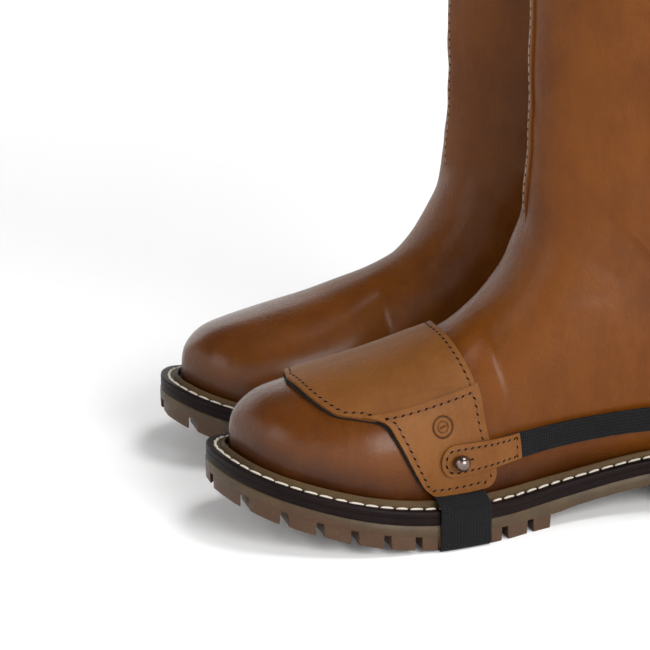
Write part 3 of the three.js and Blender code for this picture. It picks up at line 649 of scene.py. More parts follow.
# ---- sole ---------------------------------------------------------------------------------------
def outline_ring(distance, count=220):
    """Points round the inset outline: heel back, up the lateral side to the toe, back by the medial side."""
    edge = distance if isinstance(distance, Inset) else Inset(distance)
    a = np.arange(count) * 2 * np.pi / count
    u = lerp(edge.u_min, edge.u_max, (1 - np.cos(a)) / 2)
    return np.stack([u, np.where(a <= np.pi, edge.v(u, 1), edge.v(u, -1))], 1)


def stacked(rings, cap=True):
    """Loft through closed rings (verts, faces); caps bridge the lateral and medial points in pairs."""
    count = len(rings[0])
    verts = np.concatenate(rings)
    faces = [grid_faces(len(rings), count, wrap=True)]
    if cap:
        half = count // 2
        for start in (0, (len(rings) - 1) * count):
            quads = [[start + i, start + i + 1, start + (count - i - 1) % count, start + (count - i) % count]
                     for i in range(1, half - 1)]
            quads.append([start, start + 1, start + count - 1, start + count - 1])
            quads.append([start + half - 1, start + half, start + half + 1, start + half + 1])
            faces.append(np.array(quads))
    return verts, np.concatenate(faces)


def loop_of(us, out_v, in_v):
    """Closed ring along an outer line and back along an inner one."""
    return np.vstack([np.column_stack([us, out_v]), np.column_stack([us, in_v])[::-1]])


def lift_ring(distance, z):
    ring = outline_ring(distance)
    return np.column_stack([ring, z(ring[:, 0])])


def mid_top(u):
    return welt_top(u) - WELT_T - LAYER_GAP


def out_top(u):
    return mid_top(u) - MIDSOLE_T - LAYER_GAP


def sole(side):
    """Dark midsole, storm welt with its stitches, outsole and heel."""
    n = NAME[side]
    midsole = [lift_ring(d, lambda u, h=h: mid_top(u) + h) for d, h in
               ((1.6, -3.4), (0.6, -3.4), (0.42, -3.2), (0.38, -1.6), (0.42, 0), (0.6, 0.1), (1.6, 0.1))]
    make(f"{n}_midsole_band", side, *stacked(midsole), DARK_RUBBER, f"{n}_midsole")
    lip = lambda out: (lambda u: wall_inset(u) - lerp(3.2, 1.8, smooth(100, 180, u)) - out)
    profile = [(0.5, -2.95), (0.42, -2.8), (0.4, -1.4), (0.5, -0.6), (1.0, -0.12), (2.4, 0.0), (3.6, 0.0),
               (3.9, -0.1), (4.1, -0.3), (4.6, -0.34), (5.2, -0.05),
               (lambda u: np.maximum(5.6, lip(2.0)(u)), 0.1), (lip(1.3), STORM - 1.3),
               (lip(0.9), STORM - 0.6), (lip(0.4), STORM - 0.4), (lip(-0.1), STORM - 0.75),
               (lip(-0.35), 0.0), (lip(-6), 0.0), (lip(-6), -WELT_T)]
    rings = [lift_ring(d, lambda u, h=h: welt_top(u) + h) for d, h in profile]
    rings.append(rings[0])
    welt = make(f"{n}_storm_welt", side, *stacked(rings, cap=False), WELT, f"{n}_welt")
    welt.data.materials.append(DARK_RUBBER)
    edge = Inset(3.75)
    for face in welt.data.polygons:
        x, y, _ = face.center * 1000
        u, v = ORIGIN_Y[side] - y, side * x - HALF_SPACING
        inside = edge.u_min < u < edge.u_max and edge.v(u, -1) < v < edge.v(u, 1)
        face.material_index = 0 if inside else 1
    outsole(side)
    heel(side)
    path = np.roll(lift_ring(4.55, lambda u: welt_top(u) - 0.1), -8, 0)
    path = np.vstack([path, path[:1]])
    along = np.linspace(0, LENGTH, 400)
    rise = np.interp(path[:, 0], along, np.gradient(welt_top(along), along[1]))
    up = np.stack([-rise, np.zeros(len(path)), np.ones(len(path))], 1)
    stitches(f"{n}_welt_stitches", side, path, up, 6.9, 6.2, 0.72, WELT_THREAD, slant=0.1 * side,
             lift=0.22, seed=3)


def outsole(side):
    """Gum outsole: plate, edge lugs with grooves between, cleats under the ball, raised waist."""
    n, strap_edges = NAME[side], (STRAP_BAND[0] - 0.6, STRAP_BAND[1] + 0.6)

    def floor(u):
        return lerp(out_top(u) - PLATE_T, spring(u) + LUG_DEPTH, smooth(140, 154, u))
    rings = [lift_ring(d, lambda u, h=h, t=t: lerp(floor(u), out_top(u), t) + h) for d, h, t in
             ((3.0, 0, 0), (0.06, 0, 0), (0.03, 0.1, 0), (0.0, 0, 0.5), (0.15, -0.5, 1), (0.7, 0.1, 1),
              (3.0, 0.1, 1))]
    make(f"{n}_outsole_plate", side, *stacked(rings), GUM, f"{n}_outsole")
    blocks = Blocks()

    def lug(ring, mid_u, lift=0.0):
        """A block down to the ground, or to the strap where that passes under it."""
        under_strap = side > 0 and strap_edges[0] < mid_u < strap_edges[1]
        lowest = max(float(spring(mid_u)), STRAP_ROOM if under_strap else 0.0)
        rise = spring(ring[:, 0])
        low = np.column_stack([ring, (lowest if lowest > spring(mid_u) + 0.5 else rise) + lift + 0 * rise])
        high = np.column_stack([ring, rise + LUG_DEPTH + 0.8])
        middle = high.mean(0)
        low[:, 0] = middle[0] + (low[:, 0] - middle[0]) * 0.93
        high[:, :2] = middle[:2] + (high[:, :2] - middle[:2]) * (1, 0.985)
        blocks.add(low, high - (0, 0, 0.3))

    for start in np.arange(FIRST_GROOVE - LUG_PITCH, LENGTH, LUG_PITCH):
        u0, u1 = start + GROOVE / 2, min(start + LUG_PITCH - GROOVE / 2, LENGTH - 1.0)
        if u1 - u0 < 3:
            continue
        pieces = [(max(u0, WAIST_END), u1)]
        for at in strap_edges if side > 0 else ():
            pieces = [p for a, b in pieces for p in
                      (((a, at), (at, b)) if a + 0.8 < at < b - 0.8 else ((a, b),))]
        for a, b in pieces:
            mid_u = (a + b) / 2
            rims = EDGE.v(mid_u, 1), EDGE.v(mid_u, -1)
            for lateral, rim in zip((1, -1), rims):
                us = np.linspace(a, b, 7)
                out_v = EDGE.v(us, lateral) - 0.05 * lateral
                in_v = np.where(np.arange(7) % 6 == 0, 1.0, 0.0) + np.abs(out_v) - min(19.0, abs(rim) * 0.52)
                in_v = np.maximum(in_v, 3.0) * np.sign(rim if abs(rim) > 8 else lateral)
                lug(loop_of(us, out_v, in_v)[::lateral], mid_u)
            centre, half = (rims[0] + rims[1]) / 2, (rims[0] - rims[1]) / 2 - 22
            if half > 6 and b - a > 7:
                for k in (-0.5, 0.5):
                    c, w = centre + k * half * 1.05, half * 0.42
                    lug(np.array([(a + 1, c - w * 0.6), (mid_u, c - w), (b - 1, c - w * 0.6),
                                  (b - 1, c + w * 0.6), (mid_u, c + w), (a + 1, c + w * 0.6)]), mid_u, 0.3)
    blocks.make(f"{n}_outsole_lugs", side, f"{n}_outsole")


def heel(side):
    """Stacked heel block and its lugged gum lift."""
    n = NAME[side]

    def part(d, z):
        """Outline ring cut off flat at the heel breast."""
        ring, edge = outline_ring(d), Inset(d)
        over = ring[:, 0] > HEEL_BREAST
        u, v = np.minimum(ring[:, 0], HEEL_BREAST), ring[:, 1].copy()
        v[over] = lerp(edge.v(HEEL_BREAST, -1), edge.v(HEEL_BREAST, 1), np.linspace(1, 0, over.sum()))
        return np.column_stack([u, v, z(u)])
    foot = LIFT_TOP + LIFT_GAP
    top = lambda u: out_top(u) - PLATE_T - LAYER_GAP
    rings = [part(d, z) for d, z in (
        (2.2, lambda u: foot + 0 * u), (1.0, lambda u: foot + 0 * u), (0.6, lambda u: foot + 0.6 + 0 * u),
        (0.5, lambda u: lerp(foot, top(u), 0.5)), (0.6, lambda u: top(u) - 0.6), (1.0, top), (2.2, top))]
    make(f"{n}_heel_block", side, *stacked(rings), DARK_RUBBER, f"{n}_heel_base", bevel=0.3)
    rings = [part(d, lambda u, h=h: h + 0 * u) for d, h in
             ((2.2, 4.8), (0.6, 4.8), (0.2, 5.2), (0.1, 6.6), (0.4, 7.7), (1.0, LIFT_TOP), (2.2, LIFT_TOP))]
    blocks = Blocks(*stacked(rings))
    flat = lambda ring, z: np.column_stack([ring, np.full(len(ring), z)])
    cuts = [1.2] + list(np.arange(14, HEEL_BREAST - 6, LUG_PITCH)) + [HEEL_BREAST]
    edge = Inset(0.15)
    for i, (a, b) in enumerate(zip(cuts[:-1], cuts[1:])):
        a, b = a + (GROOVE / 2 if i else 0), b - (GROOVE / 2 if i < len(cuts) - 2 else 0)
        us = np.linspace(a, b, 9)
        for lateral in (1, -1):
            out_v = edge.v(us, lateral)
            in_v = lateral * np.maximum(np.abs(out_v) - 17, 2.0)
            ring = loop_of(us, out_v, in_v)
            blocks.add(flat(ring, 0), flat(ring, LUG_ROOT))
        a, b = a + 1.5, b - 1.5
        ring = np.array([(a, -11), (b, -11), (b, 11), (a, 11)]) * (1, min(1, (us.mean() + 10) / 45))
        blocks.add(flat(ring, 0.4), flat(ring, LUG_ROOT))
    blocks.make(f"{n}_lugged_heel_lift", side, f"{n}_heel_lift")


# ---- upper --------------------------------------------------------------------------------------
COLS = 145
VAMP_ROWS = 100
LEATHER_T = 2.0
LAP_V = 0.5


def relief(p, s):
    """Gentle rumples of worn-in leather, strongest round the ankle."""
    ankle = smooth(72, 110, p[..., 2]) * (1 - smooth(190, 260, p[..., 2]))
    flat = p * (0.7, 1.0, 1.7)
    return (wobble(flat, 46, 0.42, 11) * (0.25 + 0.75 * ankle) + wobble(flat, 21, 0.13, 12) * ankle) \
        * smooth(0, 0.1, s)


def lap(p, s):
    """Height of the medial quarter over the lateral one beside the front seam."""
    return 1.15 * smooth(-10, -1.5, p[..., 1]) * smooth(THROAT_S + 0.004, THROAT_S + 0.04, s)


def surface(s, q, out=0.0):
    """The worn-in skin: the plain one with its rumples."""
    p = skin(s, q, out)
    return p + upper_normal(s, q) * relief(p, np.broadcast_to(s, p.shape[:-1]))[..., None]


def q_at_v(s, v):
    """q of the front seam's line at a sideways distance v from the middle."""
    return bisect(lambda q: upper_point(s, q)[:, 1] < v, np.full(len(s), -0.4), np.full(len(s), 0.4))


SOFTEN_MOST, SOFTEN_ROUNDS = 0.9, 90


def soften(grid, s, q):
    """Evens out the fold where the foot's sections give way to the shaft's."""
    share = (smooth(0.57, 0.63, s) * (1 - smooth(0.76, 0.84, s)) * smooth(0.12, 0.3, np.abs(q))
             * (1 - smooth(0.8, 0.93, np.abs(q))))[1:-1, 1:-1, None]
    before = grid.copy()
    for _ in range(SOFTEN_ROUNDS):
        mean = (grid[:-2, 1:-1] + grid[2:, 1:-1] + grid[1:-1, :-2] + grid[1:-1, 2:]) / 4
        grid[1:-1, 1:-1] += (mean - grid[1:-1, 1:-1]) * share * 0.9
    moved = grid - before
    far = np.linalg.norm(moved, axis=-1, keepdims=True)
    grid[:] = before + moved * np.minimum(1, SOFTEN_MOST / np.maximum(far, 1e-9))


def panel(name, side, node, s, q, lapped=False):
    """Leather panel over rows s and columns q, 2 mm thick."""
    s = s[:, None] * np.ones(q.shape[-1])
    q = np.broadcast_to(q, s.shape)
    outer, inner = surface(s, q), surface(s, q, -LEATHER_T)
    if lapped:
        rise = upper_normal(s, q) * lap(outer, s)[..., None]
        outer, inner = outer + rise, inner + rise
    if s[0, 0] > 0:
        soften(outer, s, q)
    make(name, side, *shell(outer, inner), TAN, node, weld=2e-6)


def upper(side):
    """Vamp, the two quarters with the lapped front seam, and what goes in and on them."""
    n = NAME[side]
    panel(f"{n}_vamp_leather", side, f"{n}_vamp", THROAT_S * np.linspace(0, 1, VAMP_ROWS) ** 1.35,
          np.linspace(-1, 1, COLS))
    s_up = np.concatenate([np.linspace(THROAT_S, HEEL_S, 40), np.linspace(HEEL_S, 1, 90)[1:]])
    edge, under = q_at_v(s_up, LAP_V)[:, None], q_at_v(s_up, -1.2)[:, None]
    t = np.linspace(0, 1, COLS // 2 + 1)
    panel(f"{n}_lateral_quarter", side, f"{n}_quarter_lateral", s_up, under + (1 - under) * t)
    panel(f"{n}_medial_quarter", side, f"{n}_quarter_medial", s_up, -1 + (edge + 1) * t, lapped=True)
    s_seam = np.linspace(0.995, THROAT_S + 0.022, 260)
    q_seam = q_at_v(s_seam, LAP_V - 2.3)
    path, normal = surface(s_seam, q_seam), upper_normal(s_seam, q_seam)
    path = path + normal * lap(path, s_seam)[:, None]
    stitches(f"{n}_front_seam_stitches", side, path, normal, 4.2, 3.1, 0.36, SEAM_THREAD, lift=0.1,
             hole_r=(0.5, 0.5), seed=4, start=4)
    inside(side)
    back_strip(side)
    topline(side)


def inside(side):
    """Leather lining and footbed."""
    n = NAME[side]
    skip = 0.035                          # no rows in the fold beside the heel
    s = np.concatenate([np.linspace(0, HEEL_S - skip, 60), np.linspace(HEEL_S + skip, 1, 60)])[:, None]
    q = np.linspace(-1, 1, 97)[None, :]
    s, q = s * np.ones(q.shape), q * np.ones(s.shape)
    make(f"{n}_leather_lining", side, *shell(*(surface(s, q, out) for out in LINING_OUT)), LINING,
         f"{n}_lining", weld=2e-6)
    rings = [lift_ring(Inset(lambda u, d=d: wall_inset(u) + d), lambda u, h=h: welt_top(u) - WELT_T + h)
             for d, h in ((13, 3.4), (11.8, 3.5), (11.4, 4.4), (11.5, 6.4), (12.1, 7.2), (13.5, 7.4),
                          (20, 7.0))]
    make(f"{n}_footbed_cover", side, *stacked(rings), FOOTBED, f"{n}_footbed")


def back_strip(side):
    """Leather strip covering the rear seam, stitched down along both edges."""
    n = NAME[side]
    s = np.linspace(HEEL_S + 0.012, 0.98, 110)[:, None]
    rim = 0.932                           # |q| at the strip's edges
    w = np.concatenate([np.linspace(rim, 1, 12), np.linspace(-1, -rim, 12)[1:]])[None, :]
    s, q = s * np.ones(w.shape), w * np.ones(s.shape)
    edge = smooth(0.93, 0.938, np.abs(q))
    outer, inner = surface(s, q, 0.6 + 1.4 * (0.55 + 0.45 * edge)), surface(s, q, 0.3)
    make(f"{n}_rear_strip", side, *shell(outer, inner), TAN, f"{n}_back_strip", bevel=0.3, weld=2e-6)
    for k, sign in (("lateral", 1), ("medial", -1)):
        sp, qp = np.linspace(HEEL_S + 0.018, 0.972, 200), np.full(200, sign * (rim + 0.012))
        stitches(f"{n}_rear_strip_{k}_stitches", side, surface(sp, qp, 2.0), upper_normal(sp, qp), 3.6, 2.8,
                 0.36, SEAM_THREAD, lift=0.08, hole_r=(0.45, 0.45), seed=6)


def topline(side):
    """Soft leather binding folded over the shaft's mouth, with a row of stitching."""
    n, count, foot = NAME[side], 180, 0.9835
    q = -1 + 2 * np.arange(count) / count
    rows = [(foot, 1.2, 0), (foot + 0.001, 1.75, 0), (0.99, 1.95, 0), (0.995, 1.9, 0)]
    rows += [(1.0, -1.9 + 3.9 * np.cos(a), 1.9 * np.sin(a)) for a in np.linspace(0, np.pi, 13)]
    rows += [(0.995, -6.3, 0), (0.99, -6.3, 0), (foot, -6.2, 0), (foot, -5.2, 0)]
    bump = wobble(np.stack([q * 100, 0 * q, 0 * q], -1), 14, 0.05, 3)
    rings = []
    for s, out, lift in rows:
        p = skin(np.full(count, s), q, out + bump * (s < 1))
        p[:, 2] = (TOP_Z if s == 1.0 else p[:, 2]) + lift
        rings.append(p)
    rings.append(rings[0])
    make(f"{n}_mouth_binding", side, np.concatenate(rings), grid_faces(len(rings), count, wrap=True), TAN,
         f"{n}_topline_binding")
    sp, qp = np.full(count + 1, 0.9868), np.append(q, 1.0)
    stitches(f"{n}_mouth_stitches", side, skin(sp, qp, 1.95), upper_normal(sp, qp), 3.8, 2.9, 0.36,
             SEAM_THREAD, lift=0.08, hole_r=(0.45, 0.45), seed=7)


# ---- shift guard on the left boot -------------------------------------------------------------------
GUARD_FRONT = [(262.6, 64), (254, 59), (246, 58), (235, 56), (230, 50), (224, 38.5), (217, 25.5)]
GUARD_BACK = [(194, 82), (190, 67), (187.5, 50), (184.5, 38), (181.5, 25.5)]
GUARD_RIDGE = (267, 196)
GUARD_SEAM = [(230, 58), (191, 67)]
GUARD_BOTTOM = [(216, 24), (182, 24)]
MARK_AT, MARK_R = (208.5, 54.8), 4.7
GUARD_PITCH, GUARD_HOLE = 3.7, (0.95, 0.40)
GUARD_OUT = (1.5, 3.4)                    # the guard leather's underside and face above the skin


def s_on_ridge(u):
    return float(bisect(lambda s: upper_point(s, 0.0)[0] > u, 0.0, 0.6))


def guard_line(points, ridge):
    """An edge line of the guard as s over |q|."""
    found = [locate(u, z, 1) for u, z in points]
    look = catmull([(0.0, s_on_ridge(ridge))] + [(q[0], s[0]) for s, q in found])
    return lambda q: look(np.abs(q))


FRONT_LINE = guard_line(GUARD_FRONT, GUARD_RIDGE[0])
BACK_LINE = guard_line(GUARD_BACK, GUARD_RIDGE[1])
SEAM_Q, BOTTOM_Q = ([float(locate(u, z, 1)[1][0]) for u, z in line] for line in (GUARD_SEAM, GUARD_BOTTOM))
OVER_Q = [q - 0.02 for q in SEAM_Q]       # the side panels start a little above the seam


def guard_sq(t, x, q0, q1):
    """(s, q) on a guard panel: t runs from line q0 to line q1, x from the front edge to the back edge."""
    q_front, q_back = lerp(q0[0], q1[0], t), lerp(q0[1], q1[1], t)
    q = lerp(q_front, q_back, x)
    return lerp(FRONT_LINE(q), BACK_LINE(q), x), q


SIDE_SIZE = (34.0, 36.0)                  # the side panel's rough width and height in mm
CORNER = 5.5


def rounded_x(t, x, corner=CORNER):
    """Share of the way to the rear edge, pulled in where the panel's lower corners are round."""
    down = np.clip((t * SIDE_SIZE[1] - (SIDE_SIZE[1] - corner)) / corner, 0, 1)
    pull = corner * (1 - np.sqrt(np.maximum(0, 1 - down ** 2))) / SIDE_SIZE[0]
    return lerp(pull, 1 - pull, x)


def side_lift(t):
    """How far a side panel stands over the instep panel it overlaps."""
    return 1.8 * (1 - smooth(0.04, 0.42, t))


def guard_panel(name, node, q0, q1, rows, cols, marked=False, side_panel=False, flip=False):
    """A guard panel between lines q0 and q1; one of them carries the pressed mark."""
    t, x = np.meshgrid(np.linspace(0, 1, rows) ** (0.6 if side_panel else 1), np.linspace(0, 1, cols),
                       indexing="ij")
    s, q = guard_sq(t, rounded_x(t, x) if side_panel else x, q0, q1)
    q = -q if flip else q
    lift = side_lift(t) if side_panel else 0 * t
    base, outer = skin(s, q, GUARD_OUT[0] + lift), skin(s, q, GUARD_OUT[1] + lift)
    if not marked:
        return make(name, 1, *shell(outer, base), GUARD, node, bevel=0.55)
    d = outer[..., [0, 2]] - MARK_AT
    r = np.linalg.norm(d, axis=-1)
    ring = np.exp(-((r - MARK_R) / 0.55) ** 2) + np.exp(-((r - MARK_R + 2.2) / 0.4) ** 2) * 0.8
    bar = np.exp(-((d[..., 1] + 0.35 * d[..., 0]) / 0.5) ** 2) * (r < MARK_R - 3)
    pressed = np.clip(ring + bar, 0, 1)
    outer = outer - upper_normal(s, q) * (0.6 * pressed)[..., None]
    uv = np.stack([pressed, 0 * pressed, 0 * pressed], -1).reshape(-1, 3)
    return make(name, 1, *shell(outer, base), GUARD_MARKED, node, bevel=0.55, uv=np.vstack([uv, 0 * uv]),
                weld=0, slot="guard_leather")


def guard_stitches(name, path, normal, seed, pitch=GUARD_PITCH, length=2.3, radius=0.34, body=None):
    stitches(name, 1, path, normal, pitch, length, radius, GUARD_THREAD, body, lift=0.02, hole_r=GUARD_HOLE,
             seed=seed)


def instep_row(name, x, ahead, inset, seed):
    """Stitches along the instep panel's front edge (x 0) or rear edge (x 1)."""
    q0, q1 = [-q for q in SEAM_Q], SEAM_Q
    t, x = np.linspace(0.02, 0.98, 200), np.full(200, x)
    at = lambda x: skin(*guard_sq(t, x, q0, q1), GUARD_OUT[1])
    edge = at(x)
    inward = at(x + ahead) - edge
    along = unit(np.gradient(edge, axis=0))
    across = np.linalg.norm(inward - along * np.sum(inward * along, 1)[:, None], axis=1)
    s, q = guard_sq(t, x + ahead * inset / across, q0, q1)
    guard_stitches(name, skin(s, q, GUARD_OUT[1]), upper_normal(s, q), seed)


def guard():
    """Instep panel, the two side panels, their lining and stitch rows."""
    fine = ((110, 130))
    guard_panel("guard_instep_panel", "left_guard_top_panel", [-q for q in SEAM_Q], SEAM_Q, *fine)
    guard_panel("guard_outer_panel", "left_guard_lateral_panel", OVER_Q, BOTTOM_Q, 100, 120, marked=True,
                side_panel=True)
    guard_panel("guard_inner_panel", "left_guard_medial_panel", OVER_Q, BOTTOM_Q, 60, 60, side_panel=True,
                flip=True)
    lining_panel(BOTTOM_Q)
    instep_row("guard_instep_front_stitches", 0.0, 0.06, 2.6, 21)
    instep_row("guard_instep_rear_stitches", 1.0, -0.06, 2.6, 22)
    t, x = side_stitch_path(2.5)
    for tag, flip in (("outer", 1), ("inner", -1)):
        s, q = guard_sq(t, x, OVER_Q, BOTTOM_Q)
        guard_stitches(f"guard_{tag}_panel_stitches", skin(s, flip * q, GUARD_OUT[1] + side_lift(t)),
                       upper_normal(s, flip * q), 30 + flip)


def side_stitch_path(inset):
    """(t, x) of the stitch line round a side panel, a set distance inside its edge."""
    w, h, r = SIDE_SIZE[0] - 2 * inset, SIDE_SIZE[1] - 2 * inset, CORNER - inset
    arc = np.linspace(0, np.pi / 2, 16)
    points = [(0, 0), (0, h - r)]
    points += [(r - r * np.cos(a), h - r + r * np.sin(a)) for a in arc]
    points += [(w - r + r * np.sin(a), h - r + r * np.cos(a)) for a in arc]
    points += [(w, 0), (0, 0)]
    p = np.array(points, float)
    d = arc_lengths(p)
    at = np.linspace(0, d[-1], 500)
    x, y = np.interp(at, d, p[:, 0]) + inset, np.interp(at, d, p[:, 1]) + inset
    return y / SIDE_SIZE[1], x / SIDE_SIZE[0]


def lining_panel(low):
    """Thin black fabric under the guard, showing a little past its front and rear edges."""
    t, x = np.meshgrid(np.linspace(0, 1, 110), np.linspace(0, 1, 50), indexing="ij")
    q_front, q_back = lerp(-low[0], low[0], t), lerp(-low[1], low[1], t)
    end = np.clip(1 - (np.minimum(t, 1 - t) * 110 / CORNER), 0, 1)
    pull = 0.16 * (1 - np.sqrt(np.maximum(0, 1 - end ** 2)))
    x = lerp(pull, 1 - pull, x)
    q = lerp(q_front, q_back, x)
    s = lerp(FRONT_LINE(q) - 0.0035, BACK_LINE(q) + 0.001, x)
    make("guard_fabric_lining", 1, *shell(skin(s, q, 1.45), skin(s, q, 0.5)), FABRIC, "left_guard_lining",
         bevel=0.25)


def sole_strap():
    """Wide elastic from under the guard's edge, round the sole."""
    us = np.linspace(STRAP_BAND[0], STRAP_BAND[1], 26)

    def half(u, side):
        fe, e = abs(float(FEATHER.v(u, side))), abs(float(EDGE.v(u, side)))
        up = float(welt_top(u)) - FLAT_STACK
        pts = [(fe + 1, 23 + up), (fe + 4, 22.6 + up), (e - 1.6, 20.9 + up), (e + 1.3, 19.9 + up),
               (e + 2, 18.4 + up), (e + 2.0, 12), (e + 2, 3), (e + 1.8, 1.2), (e + 1.1, 0.3), (e - 1, 0.05),
               (0, 0.05)]
        return [(side * v, z) for v, z in pts]
    rows, lengths = [], []
    for u in us:
        a, b = half(u, 1), half(u, -1)
        p = np.array(a[:-1] + [(0, 0.05)] + b[:-1][::-1], float)
        d = arc_lengths(p)
        x = np.linspace(0, d[-1], 260)
        q = np.stack([np.interp(x, d, p[:, 0]), np.interp(x, d, p[:, 1])], 1)
        for _ in range(3):
            q[1:-1] = (q[:-2] + 2 * q[1:-1] + q[2:]) / 4
        rows.append(q)
        lengths.append(x)
    q = np.array(rows).transpose(1, 0, 2)
    outer = np.stack([np.broadcast_to(us, q.shape[:2]), q[..., 0], q[..., 1]], -1)
    tangent = unit(np.gradient(q, axis=0))
    normal = np.stack([-tangent[..., 1], tangent[..., 0]], -1)
    inner = outer.copy()
    inner[..., 1:] += -normal * 1.5
    inner[..., 2] = np.maximum(inner[..., 2], outer[..., 2].min())
    along = np.array(lengths).T
    uv = np.stack([along, np.broadcast_to(us - us[0], along.shape), 0 * along], -1).reshape(-1, 3)
    make("guard_sole_elastic", 1, *shell(outer, inner), ELASTIC, "left_sole_strap", uv=np.vstack([uv, uv]),
         weld=0, bevel=0.3)


STRAP_LINE = [(0, 54), (20, 53.6), (60, 51.5), (110, 47.6), (148, 43), (170, 39.9), (185, 39.3), STUD_AT,
              (215, 38.8)]
strap_z = catmull(STRAP_LINE)


def strap_lift(u):
    return 1 + 3.6 * smooth(130, 48, u) + 1.5 * smooth(150, 172, u)


def back_at(z):
    """(s, u) of the upper's rear line at a height."""
    s = float(bisect(lambda s: upper_point(s, 1.0)[2] < z, HEEL_S, 1.0))
    return s, float(upper_point(s, 1.0)[0])


HINGE_U = 52.0
BLEND_END_U = 88.0                        # a station on the free run past the hinge
STRAP_HALF, STRAP_COLS, STRAP_T, TAUT_ROUNDS = 6.0, 13, 1.3, 120
TAB_OUT = (3.6, 5.5)


def band(name, node, stations, blended=False):
    """Elastic band through stations (u, side); side 0 is the middle of the heel."""
    widths = np.linspace(STRAP_HALF, -STRAP_HALF, STRAP_COLS)
    outer, inner = [], []
    for u, side in stations:
        if side == 0:
            row = [back_at(float(strap_z(8)) + w) for w in widths]
            s, q = np.array([r[0] for r in row]), np.ones(len(widths))
            lift = np.array([float(strap_lift(r[1])) for r in row])
        else:
            s, q = locate(np.full(len(widths), u) if np.isscalar(u) else u, strap_z(u) + widths, side)
            lift = strap_lift(u)
        outer.append(skin(s, q, lift + STRAP_T))
        inner.append(skin(s, q, lift))
    outer, inner = np.array(outer), np.array(inner)
    away = unit(outer - inner)
    taut = inner.copy()
    for _ in range(TAUT_ROUNDS):
        taut[1:-1] = (taut[:-2] + 2 * taut[1:-1] + taut[2:]) / 4
        rise = np.maximum(0, ((taut - inner) * away).sum(-1, keepdims=True))
        taut = inner + away * rise
    middle = STRAP_COLS // 2
    lift = (taut - inner)[:, middle:middle + 1]
    outer, inner = outer + lift, inner + lift
    for _ in range(3):
        for a in (outer, inner):
            a[1:-1] = (a[:-2] + 2 * a[1:-1] + a[2:]) / 4
    along = arc_lengths(outer[:, middle])
    across = np.tile(widths, len(along))
    uv = np.stack([np.repeat(along, STRAP_COLS), across, 0 * across], -1)
    return make(name, 1, *shell(outer, inner), ELASTIC, node, uv=np.vstack([uv, uv]), weld=0, bevel=0.25,
                blended=blended)


def heel_strap():
    """The free run, laid from the tab back to the hinge, and the fixed run round the heel to the inner side.
    """
    free = [(u, 1) for u in np.linspace(181, HINGE_U - 1.2, 90)]
    strap = band("guard_heel_elastic_free", "left_heel_strap_free", free, blended=True)
    at = lambda u: world([skin(*[a[0] for a in locate(u, strap_z(u), 1)], strap_lift(u))], 1)[0]
    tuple(at(HINGE_U))
    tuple(at(BLEND_END_U))
    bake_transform(strap)
    back_u = back_at(float(strap_z(8)))[1]
    lateral = [(back_u + (HINGE_U - 1.2 - back_u) * t * t, 1) for t in np.linspace(1, 0.16, 26)]
    medial = [(back_u + (180 - back_u) * t ** 1.6, -1) for t in np.linspace(0.06, 1, 90)]
    band("guard_heel_elastic_fixed", "left_heel_strap_fixed", lateral + [(0, 0)] + medial)


def tab_outline(angle, inset=0.0):
    """Distance from the stud to the tab's edge at an angle; 0 points forward."""
    front, rear, hw = 211.0 - STUD_AT[0] - inset, STUD_AT[0] - 170 - inset, 6.8 - inset
    c, s = np.cos(angle), np.sin(angle)
    centre = front - hw
    b = centre * c
    round_front = b + np.sqrt(np.maximum(b * b - centre ** 2 + hw ** 2, 0))
    with np.errstate(divide="ignore"):
        side = np.abs(hw / np.where(np.abs(s) < 1e-9, 1e-9, s))
        back = np.where(c < 0, rear / np.maximum(-c, 1e-9), 1e9)
    x_side = side * c
    return np.where(x_side > centre, round_front, np.minimum(side, back))


def tab_point(r, angle, out):
    u, w = STUD_AT[0] + r * np.cos(angle), r * np.sin(angle)
    z = strap_z(u) + w * (1 - 0.15 * smooth(200, 172, u))
    s, q = locate(u.ravel(), z.ravel(), 1)
    s, q = s.reshape(u.shape), q.reshape(u.shape)
    return skin(s, q, out), upper_normal(s, q)


def strap_tab():
    """Leather tab with a buttonhole, riding the strap's free end."""
    angle = np.concatenate([np.linspace(0, np.pi - 0.25, 70), np.linspace(np.pi - 0.25, np.pi, 22)[1:]])
    angle = np.concatenate([angle, 2 * np.pi - angle[1:-1][::-1]])
    away = np.abs(angle - np.pi)
    slit = np.where(away < 0.6, np.minimum(7.5, 0.38 / np.maximum(np.sin(away), 0.045)), 0)
    hole = np.maximum(2.3, slit)
    edge = tab_outline(angle)
    t = np.linspace(0, 1, 16)[:, None]
    r = lerp(hole, edge, t)
    rr = np.broadcast_to(angle, r.shape)
    rounded = 0.35 * (smooth(0.9, 2.2, edge - r) - 1)
    tops, _ = tab_point(r, rr, TAB_OUT[1] + rounded)
    lows, _ = tab_point(r, rr, TAB_OUT[0])
    make("guard_strap_tab_leather", 1, *shell(tops, lows, wrap=True), GUARD, "left_strap_tab",
         body="guard_strap_end", bevel=0.4)
    a = np.linspace(-np.pi + 0.16, np.pi - 0.16, 400)
    row = tab_point(tab_outline(a, 2.1), a, np.full(400, TAB_OUT[1]))
    guard_stitches("guard_strap_tab_stitches", *row, 41, 3.5, 2.1, 0.32, "guard_strap_end")
    w, back = np.linspace(-4.6, 4.6, 60), STUD_AT[0] - 173.0
    row = tab_point(np.hypot(back, w), np.arctan2(w, -back), np.full(60, TAB_OUT[1]))
    guard_stitches("guard_strap_tab_cross_stitches", *row, 42, 3.3, 2.0, 0.32, "guard_strap_end")


